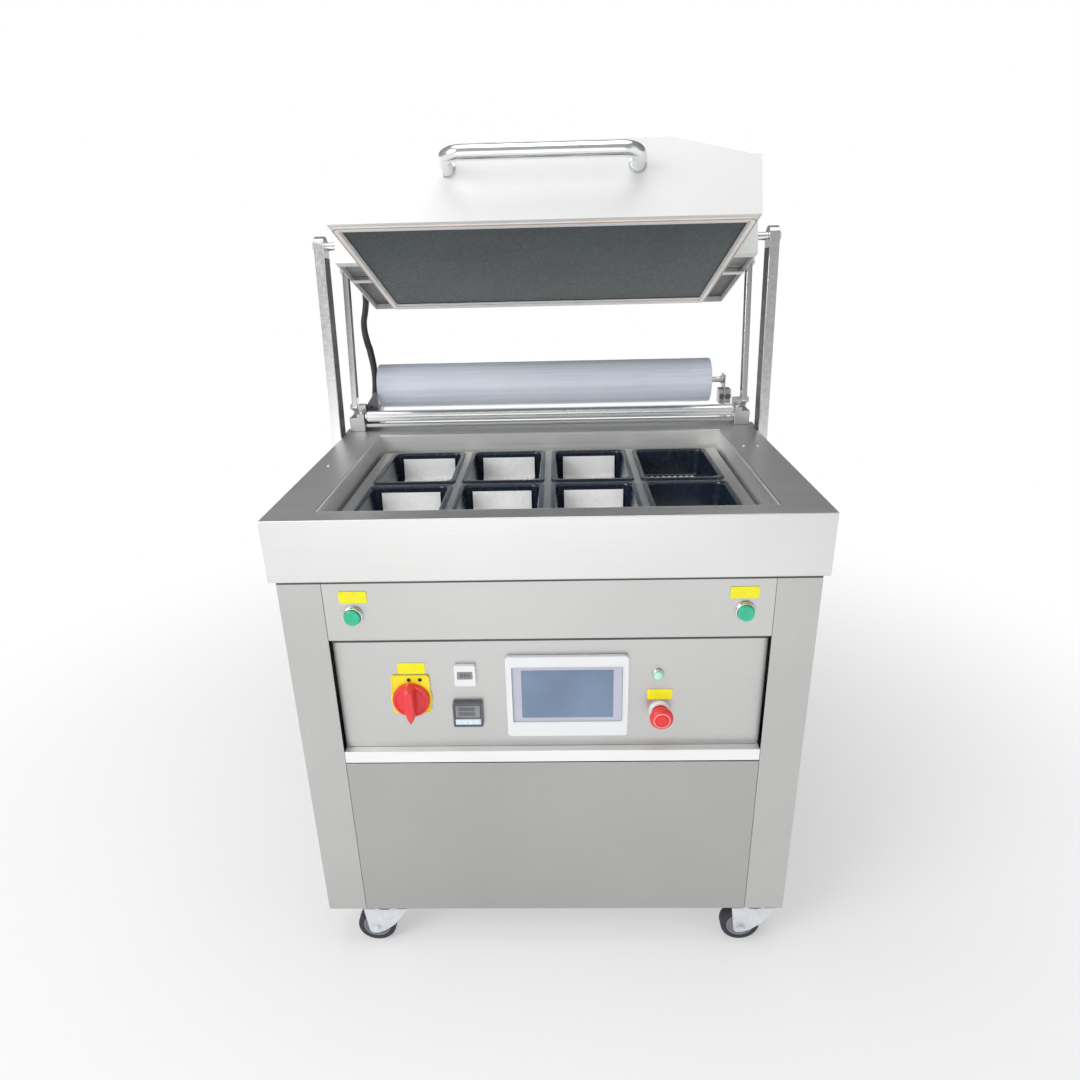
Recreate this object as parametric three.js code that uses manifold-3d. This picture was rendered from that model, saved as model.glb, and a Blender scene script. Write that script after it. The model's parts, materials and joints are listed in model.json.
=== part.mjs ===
// Tray and skin vacuum packing machine on casters, lid open.
// Millimetres. X to the right, Y from the front edge of the worktop to the back, Z up from the floor.
// The outermost group moves the origin to the floor, under the middle of the machine.
import * as THREE from 'three';
import { mergeVertices } from 'three/addons/utils/BufferGeometryUtils.js';
import Module from 'manifold-3d';

const wasm = await Module();
wasm.setup();

// ---------------------------------------------------------------- driving dimensions
const GAP = 0.4;                      // clearance between neighbouring pieces
const SHEET = 2;                      // cabinet sheet thickness

const RIM = { half: 440, depth: 600, top: 911, apron: 104, sheet: 3 };
const OPENING = { half: 364, front: 40, back: 521 };
const TUB = { wall: 3, depth: 112 };
const MOULD = { half: 352, front: 48, back: 505, drop: 35, height: 26 };
const TRAY = { columns: 4, rows: 2, pitchX: 168, pitchY: 224, width: 156, length: 212, depth: 58, wall: 2 };

const CABINET = { half: 436, front: 20, back: 575, bottom: 100, top: 851, post: 72, rearReturn: 22 };
const FRONT_HALF = CABINET.half - CABINET.post - GAP;
const FASCIA = { bottom: 691 };
const RECESS = { face: 36, top: 689, bottom: 468 };
const LEDGE = { bottom: 445 };
const LOWER_PANEL = { top: 443, flange: 12 };

const LID = { half: 374, length: 540, side: 100, crown: 133, flatHalf: 222, shoulderHalf: 358, sheet: 2.5 };
const LID_OPEN = { y: 338, z: 1329.8, tilt: THREE.MathUtils.degToRad(20.3) };
const LID_CLOSED = { y: 2, z: 915 };
const WING = { half: 417, front: 200, height: 85, lip: 22, rib: 324 };
const PLATE = { half: 358, front: 39, back: 505, thick: 14 };
const GASKET = { thick: 3.6, width: 10 };
const HANDLE = { half: 163, tube: 12.5, standoff: 61, n: 88, bend: 30 };

const ARM = { inner: 446, width: 20, depth: 40, shaftRadius: 16 };
const ARM_PIVOT = { u: 238, n: 46 };            // lid pivot, in the lid's own frame
const CROSS_SHAFT = equidistant(655);
const ELBOW = { y: 538, z: 862 };               // where the arm turns back towards the cross shaft
const LINK = { inner: 420, width: 12, half: 9, foot: { y: 592, z: 959 }, head: { u: 309, n: 18 } };

const BLOCK = { inner: 402, outer: 434, front: 560, height: 38, lugOuter: 418, lugWidth: 13 };
const ROLLER = { y: 570, z: 942, radius: 12, half: 396 };
const LOWER_BAR = { y: 572, z: 921.5, radius: 5 };
const FILM = { y: 660, z: 991, radius: 48, core: 22, left: -380, right: 360 };
const CRADLE = { inner: { left: 382, right: 393 }, sheet: 3, depth: 32, top: 12, bottom: 897 };
const GUSSET = { y: 602, sheet: 4, left: -419.4, right: -377, shoulder: 938, peakX: -384, peak: 988 };

const CASTER = { wheelX: { left: -353, right: 364 }, inset: 29, trail: 22, radius: 37.5, tread: 24, sides: 28 };
const MIDDLE_Y = lidPoint(LID.length, LID.crown).y / 2;   // half way from the rim's front to the lid's back

// A point of the open lid, given along its length (u) and square to it (n), in the machine's Y and Z.
function lidPoint(u, n) {
  const c = Math.cos(LID_OPEN.tilt);
  const s = Math.sin(LID_OPEN.tilt);
  return { y: LID_OPEN.y + u * c + n * s, z: LID_OPEN.z - u * s + n * c };
}

// The point at this Y that is as far from the lid pivot with the lid open as with it closed.
function equidistant(y) {
  const open = lidPoint(ARM_PIVOT.u, ARM_PIVOT.n);
  const shut = { y: LID_CLOSED.y + ARM_PIVOT.u, z: LID_CLOSED.z + ARM_PIVOT.n };
  const slope = -(open.y - shut.y) / (open.z - shut.z);
  return { y, z: (open.z + shut.z) / 2 + slope * (y - (open.y + shut.y) / 2) };
}

// ---------------------------------------------------------------- materials
const material = (color, roughness, metalness) => new THREE.MeshStandardMaterial({ color, roughness, metalness });
const STEEL = material(0xc4c6c6, 0.35, 0.9);
const BRIGHT = material(0xe4e6e8, 0.2, 1.0);
const WHITE_STEEL = material(0xe8e9ea, 0.4, 0.4);
const HEATER = material(0x404b4c, 0.55, 0.3);
const SILICONE = material(0xe9dcd6, 0.7, 0.0);
const BLACK = material(0x2a2c2e, 0.6, 0.0);
const TRAY_PLASTIC = material(0x2b3440, 0.4, 0.0);
const FILM_PLASTIC = material(0xcad3e0, 0.25, 0.0);
const YELLOW = material(0xf2ea28, 0.4, 0.0);
const RED = material(0xf05558, 0.4, 0.0);
const GREEN = material(0x28d7a5, 0.35, 0.0);
const PALE = material(0xeceef0, 0.45, 0.0);
const SCREEN = material(0x798ca6, 0.15, 0.0);
const TYRE = material(0x3a3c3e, 0.8, 0.0);
const PUMP = material(0x5b6470, 0.5, 0.4);

// ---------------------------------------------------------------- solids
function toSolid(geometry) {
  const bare = geometry.clone();
  for (const name of Object.keys(bare.attributes)) {
    if (name !== 'position') bare.deleteAttribute(name);
  }
  const merged = mergeVertices(bare, 1e-4);
  const vertProperties = new Float32Array(merged.attributes.position.array);
  const triVerts = new Uint32Array(merged.index.array);
  return new wasm.Manifold(new wasm.Mesh({ numProp: 3, vertProperties, triVerts }));
}

function toGeometry(solid) {
  const mesh = solid.getMesh();
  const geometry = new THREE.BufferGeometry();
  geometry.setAttribute('position', new THREE.BufferAttribute(new Float32Array(mesh.vertProperties), 3));
  geometry.setIndex(new THREE.BufferAttribute(new Uint32Array(mesh.triVerts), 1));
  return geometry;
}

function join(...geometries) {
  return toGeometry(geometries.map(toSolid).reduce((sum, next) => sum.add(next)));
}

function cut(body, ...tools) {
  return toGeometry(tools.map(toSolid).reduce((rest, tool) => rest.subtract(tool), toSolid(body)));
}

// A block between two corners.
function block(x0, x1, y0, y1, z0, z1) {
  const geometry = new THREE.BoxGeometry(x1 - x0, y1 - y0, z1 - z0);
  return geometry.translate((x0 + x1) / 2, (y0 + y1) / 2, (z0 + z1) / 2);
}

// A solid of revolution about a line along X: [x, radius] pairs, starting and ending on the axis.
function turnedX(profile, y, z, segments = 36) {
  const points = profile.map(([x, radius]) => new THREE.Vector2(radius, x));
  const geometry = new THREE.LatheGeometry(points, segments);
  return geometry.rotateZ(-Math.PI / 2).translate(0, y, z);
}

// A solid of revolution about a line along Y, for knobs and lamps on the front.
function turnedY(profile, x, z, segments = 20) {
  const points = profile.map(([y, radius]) => new THREE.Vector2(radius, y));
  return new THREE.LatheGeometry(points, segments).translate(x, 0, z);
}

// A solid of revolution about a vertical line.
function turnedZ(profile, x, y, segments = 32) {
  const points = profile.map(([z, radius]) => new THREE.Vector2(radius, z));
  const geometry = new THREE.LatheGeometry(points, segments);
  return geometry.rotateX(Math.PI / 2).translate(x, y, 0);
}

// An outline in the Y-Z plane, given as [y, z] pairs, extruded from x0 to x1.
function sideProfile(points, x0, x1) {
  const shape = new THREE.Shape(points.map(([y, z]) => new THREE.Vector2(y, z)));
  const geometry = new THREE.ExtrudeGeometry(shape, { depth: x1 - x0, bevelEnabled: false });
  return geometry.applyMatrix4(new THREE.Matrix4().set(0, 0, 1, x0, 1, 0, 0, 0, 0, 1, 0, 0, 0, 0, 0, 1));
}

// An outline in the X-Z plane, given as [x, z] pairs, extruded from y0 to y1.
function frontProfile(points, y0, y1) {
  const shape = new THREE.Shape(points.map(([x, z]) => new THREE.Vector2(x, z)));
  const geometry = new THREE.ExtrudeGeometry(shape, { depth: y1 - y0, bevelEnabled: false });
  return geometry.applyMatrix4(new THREE.Matrix4().set(1, 0, 0, 0, 0, 0, -1, y1, 0, 1, 0, 0, 0, 0, 0, 1));
}

// An outline in the X-Y plane, given as [x, y] pairs, extruded from z0 to z1.
function planProfile(points, z0, z1) {
  const shape = new THREE.Shape(points.map(([x, y]) => new THREE.Vector2(x, y)));
  return new THREE.ExtrudeGeometry(shape, { depth: z1 - z0, bevelEnabled: false }).translate(0, 0, z0);
}

// A plate with rounded corners on the front of the machine, from y0 back to y1.
function facePlate(x, z, width, height, corner, y0, y1) {
  const w = width / 2;
  const h = height / 2;
  const shape = new THREE.Shape();
  shape.moveTo(-w + corner, -h);
  shape.lineTo(w - corner, -h);
  shape.absarc(w - corner, -h + corner, corner, -Math.PI / 2, 0);
  shape.lineTo(w, h - corner);
  shape.absarc(w - corner, h - corner, corner, 0, Math.PI / 2);
  shape.lineTo(-w + corner, h);
  shape.absarc(-w + corner, h - corner, corner, Math.PI / 2, Math.PI);
  shape.lineTo(-w, -h + corner);
  shape.absarc(-w + corner, -h + corner, corner, Math.PI, Math.PI * 1.5);
  const geometry = new THREE.ExtrudeGeometry(shape, { depth: y1 - y0, bevelEnabled: false, curveSegments: 3 });
  return geometry.rotateX(Math.PI / 2).translate(x, y1, z);
}

// A round bar that follows a curve.
function bar(curve, radius, sides, steps) {
  const section = new THREE.Shape(
    Array.from({ length: sides }, (_, i) => {
      const angle = (2 * Math.PI * i) / sides;
      return new THREE.Vector2(radius * Math.cos(angle), radius * Math.sin(angle));
    }),
  );
  return new THREE.ExtrudeGeometry(section, { steps, extrudePath: curve, bevelEnabled: false });
}

function add(parent, name, geometry, surface) {
  const mesh = new THREE.Mesh(geometry, surface);
  mesh.name = name;
  parent.add(mesh);
  return mesh;
}

const SIDES = [['left', -1], ['right', 1]];

// Puts the smaller of two mirrored x values first.
const span = (side, a, b) => (side > 0 ? [a, b] : [-b, -a]);

// ---------------------------------------------------------------- worktop and tub
function buildWorktop(machine) {
  const { half, depth, top, apron, sheet } = RIM;
  const outside = block(-half, half, 0, depth, top - apron, top);
  const inside = block(-half + sheet, half - sheet, sheet, depth - sheet, top - apron - 1, top - sheet);
  const hole = block(-OPENING.half, OPENING.half, OPENING.front, OPENING.back, top - sheet - 1, top + 1);
  add(machine, 'worktop_rim', cut(outside, inside, hole), STEEL);

  const reach = OPENING.half - GAP;
  const front = OPENING.front + GAP;
  const back = OPENING.back - GAP;
  const floor = top - TUB.depth;
  const shell = block(-reach, reach, front, back, floor, top - 1);
  const hollow = block(-reach + TUB.wall, reach - TUB.wall, front + TUB.wall, back - TUB.wall, floor + TUB.wall, top);
  add(machine, 'tub', cut(shell, hollow), STEEL);
}

function trayCentres() {
  const centres = [];
  const middle = (MOULD.front + MOULD.back) / 2;
  for (let row = 0; row < TRAY.rows; row += 1) {
    for (let column = 0; column < TRAY.columns; column += 1) {
      centres.push({
        x: (column - (TRAY.columns - 1) / 2) * TRAY.pitchX,
        y: middle + (row - (TRAY.rows - 1) / 2) * TRAY.pitchY,
      });
    }
  }
  return centres;
}

// A rectangular cup with sloping sides: wider at the mouth than at the floor.
function taperedBox(x, y, width, length, z0, z1, draft) {
  const geometry = new THREE.BoxGeometry(width, length, z1 - z0);
  const position = geometry.attributes.position;
  for (let i = 0; i < position.count; i += 1) {
    if (position.getZ(i) > 0) continue;
    position.setX(i, position.getX(i) - Math.sign(position.getX(i)) * draft);
    position.setY(i, position.getY(i) - Math.sign(position.getY(i)) * draft);
  }
  return geometry.translate(x, y, (z0 + z1) / 2);
}

function buildMould(machine) {
  const mouldTop = RIM.top - MOULD.drop;
  const lip = 3;
  const frame = block(-MOULD.half, MOULD.half, MOULD.front, MOULD.back, mouldTop - MOULD.height, mouldTop);
  const cells = trayCentres().map(({ x, y }) => {
    const w = TRAY.width / 2 - 5;
    const l = TRAY.length / 2 - 5;
    return block(x - w, x + w, y - l, y + l, mouldTop - MOULD.height - 1, mouldTop + 1);
  });
  add(machine, 'mould_frame', cut(frame, ...cells), STEEL);

  trayCentres().forEach(({ x, y }, index) => {
    const rimTop = mouldTop + GAP + lip;
    const flange = block(x - TRAY.width / 2, x + TRAY.width / 2, y - TRAY.length / 2, y + TRAY.length / 2,
      mouldTop + GAP, rimTop);
    const outerWidth = TRAY.width - 14;
    const outerLength = TRAY.length - 14;
    const floor = rimTop - TRAY.depth;
    const cup = taperedBox(x, y, outerWidth, outerLength, floor, rimTop - 1, 6);
    const hollow = taperedBox(x, y, outerWidth - 2 * TRAY.wall, outerLength - 2 * TRAY.wall,
      floor + TRAY.wall, rimTop + 1, 6);
    add(machine, `tray_${index + 1}`, cut(join(flange, cup), hollow), TRAY_PLASTIC);
  });
}

// ---------------------------------------------------------------- cabinet
function buildCabinet(machine) {
  const { half, front, back, bottom, top, post, rearReturn } = CABINET;
  for (const [label, side] of SIDES) {
    const outline = [
      [half - post, front], [half, front], [half, back], [half - rearReturn, back],
      [half - rearReturn, back - SHEET], [half - SHEET, back - SHEET], [half - SHEET, front + SHEET],
      [half - post, front + SHEET],
    ].map(([x, y]) => [side * x, y]);
    if (side < 0) outline.reverse();
    add(machine, `side_shell_${label}`, planProfile(outline, bottom, top), STEEL);
  }

  const rearHalf = half - rearReturn - GAP;
  const vents = Array.from({ length: 8 }, (_, i) => {
    const z = 240 + i * 26;
    return block(-150, 150, back - 10, back + 10, z, z + 8);
  });
  const rear = block(-rearHalf, rearHalf, back - SHEET, back, bottom, top);
  add(machine, 'rear_panel', cut(rear, ...vents), STEEL);

  const inset = SHEET + GAP;
  const pan = block(-half + inset, half - inset, front + inset, back - inset, bottom, bottom + 30);
  const panHollow = block(-half + 2 * inset, half - 2 * inset, front + 2 * inset, back - 2 * inset,
    bottom + SHEET, bottom + 31);
  add(machine, 'base_pan', cut(pan, panHollow), STEEL);

  const fascia = sideProfile([
    [front, FASCIA.bottom], [RECESS.face - GAP, FASCIA.bottom], [RECESS.face - GAP, FASCIA.bottom + SHEET],
    [front + SHEET, FASCIA.bottom + SHEET], [front + SHEET, top], [front, top],
  ], -FRONT_HALF, FRONT_HALF);
  add(machine, 'upper_fascia', fascia, STEEL);

  const face = block(-FRONT_HALF, FRONT_HALF, RECESS.face, RECESS.face + SHEET, RECESS.bottom - 12, RECESS.top + 20);
  add(machine, 'control_panel', face, STEEL);

  const ledge = sideProfile([
    [front, LEDGE.bottom], [front + SHEET, LEDGE.bottom], [front + SHEET, RECESS.bottom - SHEET],
    [RECESS.face - GAP, RECESS.bottom - SHEET], [RECESS.face - GAP, RECESS.bottom], [front, RECESS.bottom],
  ], -FRONT_HALF, FRONT_HALF);
  add(machine, 'panel_ledge', ledge, BRIGHT);

  const door = block(-FRONT_HALF, FRONT_HALF, front, front + LOWER_PANEL.flange, bottom + 36, LOWER_PANEL.top);
  const doorHollow = block(-FRONT_HALF + SHEET, FRONT_HALF - SHEET, front + SHEET, front + LOWER_PANEL.flange + 1,
    bottom + 36 + SHEET, LOWER_PANEL.top - SHEET);
  const skirt = block(-FRONT_HALF, FRONT_HALF, front, front + SHEET, bottom, bottom + 37);
  add(machine, 'lower_front_panel', cut(join(door, skirt), doorHollow), STEEL);
}

function buildPump(machine) {
  const axis = { y: 330, z: 235 };
  const motor = turnedX([[-250, 0], [-250, 62], [-235, 70], [-80, 70], [-80, 0]], axis.y, axis.z, 20);
  const head = block(-100, 120, axis.y - 95, axis.y + 95, axis.z - 88, axis.z + 96);
  const exhaust = turnedX([[110, 0], [110, 48], [230, 48], [230, 0]], axis.y, axis.z + 30, 16);
  const feet = block(-230, 110, axis.y - 70, axis.y + 70, CABINET.bottom + SHEET + GAP, axis.z - 60);
  add(machine, 'vacuum_pump', join(motor, head, exhaust, feet), PUMP);
}

// ---------------------------------------------------------------- controls
function buildControls(machine) {
  const face = RECESS.face - GAP;
  const screen = { x: 30, z: 573 };

  const bezel = facePlate(screen.x, screen.z, 208, 158, 7, face - 9, face);
  const pocket = facePlate(screen.x, screen.z + 5, 188, 110, 3, face - 10, face - 4);
  add(machine, 'hmi_bezel', cut(bezel, pocket), PALE);
  add(machine, 'hmi_screen', facePlate(screen.x, screen.z + 5, 187, 109, 2.6, face - 7, face - 4 - GAP), SCREEN);

  const knob = { x: -238, z: 569, radius: 32 };
  const plate = facePlate(knob.x, knob.z + 9, 66, 74, 6, face - 3, face);
  const escutcheon = turnedY([[face - 3, 0], [face - 3, 36], [face, 36], [face, 0]], knob.x, knob.z, 28);
  add(machine, 'switch_plate', join(plate, escutcheon), YELLOW);
  const base = turnedY([[face - 12, 0], [face - 12, knob.radius - 2], [face - 10, knob.radius],
    [face - 3 - GAP, knob.radius], [face - 3 - GAP, 0]], knob.x, knob.z, 28);
  const outline = [[-9, 31], [-9, -18], [0, -38], [9, -18], [9, 31]];
  const grip = frontProfile(outline.map(([x, z]) => [knob.x + x, knob.z + z]), face - 30, face - 11);
  add(machine, 'switch_knob', join(base, grip), RED);

  const meter = facePlate(-143, 616, 36, 40, 3, face - 8, face);
  const window = facePlate(-143, 617, 26, 15, 2, face - 9, face - 6);
  add(machine, 'vacuum_meter', cut(meter, window), PALE);

  const controller = facePlate(-142, 538, 52, 48, 3, face - 9, face);
  const display = facePlate(-142, 538, 45, 40, 2, face - 10, face - 7);
  add(machine, 'temperature_controller', cut(controller, display), BLACK);

  const stop = [[face - 34, 0], [face - 34, 12], [face - 31, 18], [face - 27, 20], [face - 22, 20], [face - 17, 15],
    [face - 14, 13], [face - 6, 13], [face - 6, 0]];
  add(machine, 'estop_head', turnedY(stop, 189, 540, 20), RED);

  const skin = CABINET.front - GAP;
  for (const [label, side] of SIDES) {
    const cap = [[skin - 12, 0], [skin - 12, 11], [skin - 10, 13.5], [skin - 5, 13.5], [skin - 5, 0]];
    add(machine, `button_cap_${label}`, turnedY(cap, side * 317, 738), GREEN);
  }
}

// ---------------------------------------------------------------- lid
function lidSection(inset) {
  const half = LID.half - inset;
  const shoulder = LID.shoulderHalf - inset;
  const flat = LID.flatHalf - inset / 2;
  const low = inset > 0 ? -1 : 0;
  return [
    [-half, low], [half, low], [half, LID.side - inset], [shoulder, LID.side + 2 - inset],
    [flat, LID.crown - inset], [-flat, LID.crown - inset], [-shoulder, LID.side + 2 - inset],
    [-half, LID.side - inset],
  ];
}

// The channel along each rear side of the hood: open below, with a lip at the front and a cross rib.
function wingShell(side) {
  const [x0, x1] = span(side, LID.half - 1, WING.half);
  const [h0, h1] = span(side, LID.half - 2, WING.half - SHEET);
  const shell = block(x0, x1, WING.front, LID.length, 0, WING.height);
  const pockets = [
    block(h0, h1, WING.front + SHEET, LID.length - SHEET, SHEET, WING.height - SHEET),
    block(h0, h1, WING.front + WING.lip, WING.rib - 8, -1, SHEET + 1),
    block(h0, h1, WING.rib + 8, LID.length - SHEET, -1, SHEET + 1),
  ];
  return cut(shell, ...pockets);
}

function buildLid(machine) {
  const lid = new THREE.Group();
  lid.position.set(0, LID_OPEN.y, LID_OPEN.z);
  lid.rotation.x = -LID_OPEN.tilt;
  machine.add(lid);

  const outer = frontProfile(lidSection(0), 0, LID.length);
  const inner = frontProfile(lidSection(LID.sheet), LID.sheet, LID.length - LID.sheet);
  add(lid, 'lid_hood', join(cut(outer, inner), wingShell(-1), wingShell(1)), WHITE_STEEL);

  const edge = LID.half - LID.sheet - GAP;
  const end = LID.sheet + GAP;
  const frame = block(-edge, edge, end, LID.length - end, 0, PLATE.thick);
  const frameHole = block(-PLATE.half - GAP, PLATE.half + GAP, PLATE.front - GAP, PLATE.back + GAP, -1, PLATE.thick + 1);
  add(lid, 'lid_frame', cut(frame, frameHole), WHITE_STEEL);

  add(lid, 'heater_plate', block(-PLATE.half, PLATE.half, PLATE.front, PLATE.back, 2, PLATE.thick), HEATER);

  const ringOuter = { half: edge - 0.5, front: end + 8, back: LID.length - end - 8 };
  const { thick, width } = GASKET;
  const ring = block(-ringOuter.half, ringOuter.half, ringOuter.front, ringOuter.back, -GAP - thick, -GAP);
  const ringHole = block(-ringOuter.half + width, ringOuter.half - width, ringOuter.front + width,
    ringOuter.back - width, -GAP - thick - 1, 1);
  add(lid, 'lid_gasket', cut(ring, ringHole), SILICONE);

  const path = new THREE.CurvePath();
  const { half, standoff, n, bend, tube } = HANDLE;
  const at = (x, u) => new THREE.Vector3(x, u, n);
  path.add(new THREE.LineCurve3(at(-half, -GAP), at(-half, -standoff + bend)));
  path.add(new THREE.QuadraticBezierCurve3(at(-half, -standoff + bend), at(-half, -standoff), at(-half + bend, -standoff)));
  path.add(new THREE.LineCurve3(at(-half + bend, -standoff), at(half - bend, -standoff)));
  path.add(new THREE.QuadraticBezierCurve3(at(half - bend, -standoff), at(half, -standoff), at(half, -standoff + bend)));
  path.add(new THREE.LineCurve3(at(half, -standoff + bend), at(half, -GAP)));
  add(lid, 'lid_handle', bar(path, tube, 12, 36), BRIGHT);
}

// ---------------------------------------------------------------- lid linkage
// A strip of the given width from one point to another in the Y-Z plane, with rounded ends.
function strap(from, to, width, x0, x1) {
  const angle = Math.atan2(to.z - from.z, to.y - from.y);
  const shape = new THREE.Shape();
  shape.absarc(to.y, to.z, width / 2, angle - Math.PI / 2, angle + Math.PI / 2);
  shape.absarc(from.y, from.z, width / 2, angle + Math.PI / 2, angle + Math.PI * 1.5);
  return sideProfile(shape.getPoints(6).slice(0, -1).map((p) => [p.x, p.y]), x0, x1);
}

function buildLinkage(machine) {
  const lidPivot = lidPoint(ARM_PIVOT.u, ARM_PIVOT.n);
  const linkHead = lidPoint(LINK.head.u, LINK.head.n);
  const { inner, width, depth, shaftRadius } = ARM;

  for (const [label, side] of SIDES) {
    const [x0, x1] = span(side, inner, inner + width);
    const upper = strap(lidPivot, ELBOW, depth, x0, x1);
    const lower = strap(ELBOW, CROSS_SHAFT, depth, x0, x1);
    const [p0, p1] = span(side, WING.half + GAP, inner + 1);
    const pin = turnedX([[p0, 0], [p0, 8], [p1, 8], [p1, 0]], lidPivot.y, lidPivot.z, 16);
    add(machine, `swing_arm_${label}`, join(upper, lower, pin), BRIGHT);

    const [l0, l1] = span(side, LINK.inner, LINK.inner + LINK.width);
    add(machine, `link_${label}`, strap(LINK.foot, linkHead, 2 * LINK.half, l0, l1), BRIGHT);

    const [b0, b1] = span(side, BLOCK.inner, BLOCK.outer);
    const [g0, g1] = span(side, BLOCK.inner, BLOCK.lugOuter);
    const foot = block(b0, b1, BLOCK.front, LINK.foot.y + LINK.half, RIM.top + GAP,
      RIM.top + BLOCK.height);
    const notch = block(...span(side, BLOCK.lugOuter, BLOCK.outer + 1), BLOCK.front - 1, RIM.depth,
      RIM.top + BLOCK.height - 8, RIM.top + BLOCK.height + 1);
    const lug = strap({ y: LINK.foot.y, z: RIM.top + 20 }, LINK.foot, BLOCK.lugWidth, g0, g1);
    add(machine, `end_block_${label}`, cut(join(foot, lug), notch), STEEL);

    const [r0, r1] = span(side, 380, 392);
    const underRim = RIM.top - RIM.apron - 4;
    const bracket = sideProfile([
      [CABINET.back + GAP, 700], [CABINET.back + 8, 700], [CROSS_SHAFT.y + 24, CROSS_SHAFT.z - 30],
      [CROSS_SHAFT.y + 24, CROSS_SHAFT.z + 22], [CROSS_SHAFT.y - 30, CROSS_SHAFT.z + 22],
      [CROSS_SHAFT.y - 30, underRim], [CABINET.back + GAP, underRim],
    ], r0, r1);
    const bore = turnedX([[r0 - 1, 0], [r0 - 1, shaftRadius + GAP], [r1 + 1, shaftRadius + GAP], [r1 + 1, 0]],
      CROSS_SHAFT.y, CROSS_SHAFT.z, 20);
    add(machine, `rear_bracket_${label}`, cut(bracket, bore), STEEL);
  }

  const reach = inner - GAP;
  const tube = turnedX([[-reach, 0], [-reach, shaftRadius], [reach, shaftRadius], [reach, 0]],
    CROSS_SHAFT.y, CROSS_SHAFT.z, 20);
  const lever = sideProfile([
    [CROSS_SHAFT.y, CROSS_SHAFT.z - 12], [BOOT.y + BOOT.base, BOOT.z - 9], [BOOT.y + BOOT.base, BOOT.z - GAP],
    [BOOT.y - BOOT.base, BOOT.z - GAP], [CROSS_SHAFT.y, CROSS_SHAFT.z + 12],
  ], BOOT.x - 6, BOOT.x + 6);
  add(machine, 'cross_shaft', join(tube, lever), STEEL);
}

// ---------------------------------------------------------------- conduit
const BOOT = { x: -411, y: 720, z: 900, height: 36, base: 16 };
const CONDUIT_RADIUS = 8;
const CONDUIT_ROUTE = [
  [-411, 720, 936.6], [-411, 720.1, 944], [-411, 725, 961], [-409.5, 730.5, 983], [-409, 732.5, 1007],
  [-412.5, 740.5, 1030], [-419, 756, 1048.5], [-426, 777, 1059], [-433.5, 800, 1062.5], [-440.5, 824, 1065],
  [-447.5, 845.5, 1072], [-454, 862.5, 1087.5], [-456, 872, 1110], [-451, 874, 1133], [-445.5, 869.5, 1156],
  [-443, 862.5, 1179], [-443, 861.5, 1196.5],
];
const GLAND = { u: 526, n: 70 };                // where the conduit enters the lid's left channel

function buildConduit(machine) {
  const { x, y, z, height, base } = BOOT;
  const boot = turnedZ([
    [z, 0], [z, base], [z + 5, base], [z + 8, base - 3], [z + height, CONDUIT_RADIUS + 1.5], [z + height, 0],
  ], x, y, 16);
  add(machine, 'conduit_boot', boot, BLACK);

  const route = new THREE.CatmullRomCurve3(CONDUIT_ROUTE.map((p) => new THREE.Vector3(...p)), false, 'centripetal');
  add(machine, 'conduit', bar(route, CONDUIT_RADIUS, 8, 24), BLACK);

  const end = new THREE.Vector3(...CONDUIT_ROUTE.at(-1));
  const along = end.clone().sub(new THREE.Vector3(...CONDUIT_ROUTE.at(-2))).normalize();
  const mouth = end.clone().addScaledVector(along, 2 * GAP);
  const gland = lidPoint(GLAND.u, GLAND.n);
  const start = new THREE.Vector3(-WING.half - GAP, gland.y, gland.z);
  const curve = new THREE.CubicBezierCurve3(start, start.clone().add(new THREE.Vector3(-18, 0, 0)),
    mouth.clone().addScaledVector(along, 14), mouth);
  add(machine, 'conduit_elbow', bar(curve, CONDUIT_RADIUS + 2, 8, 8), BLACK);
}

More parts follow.
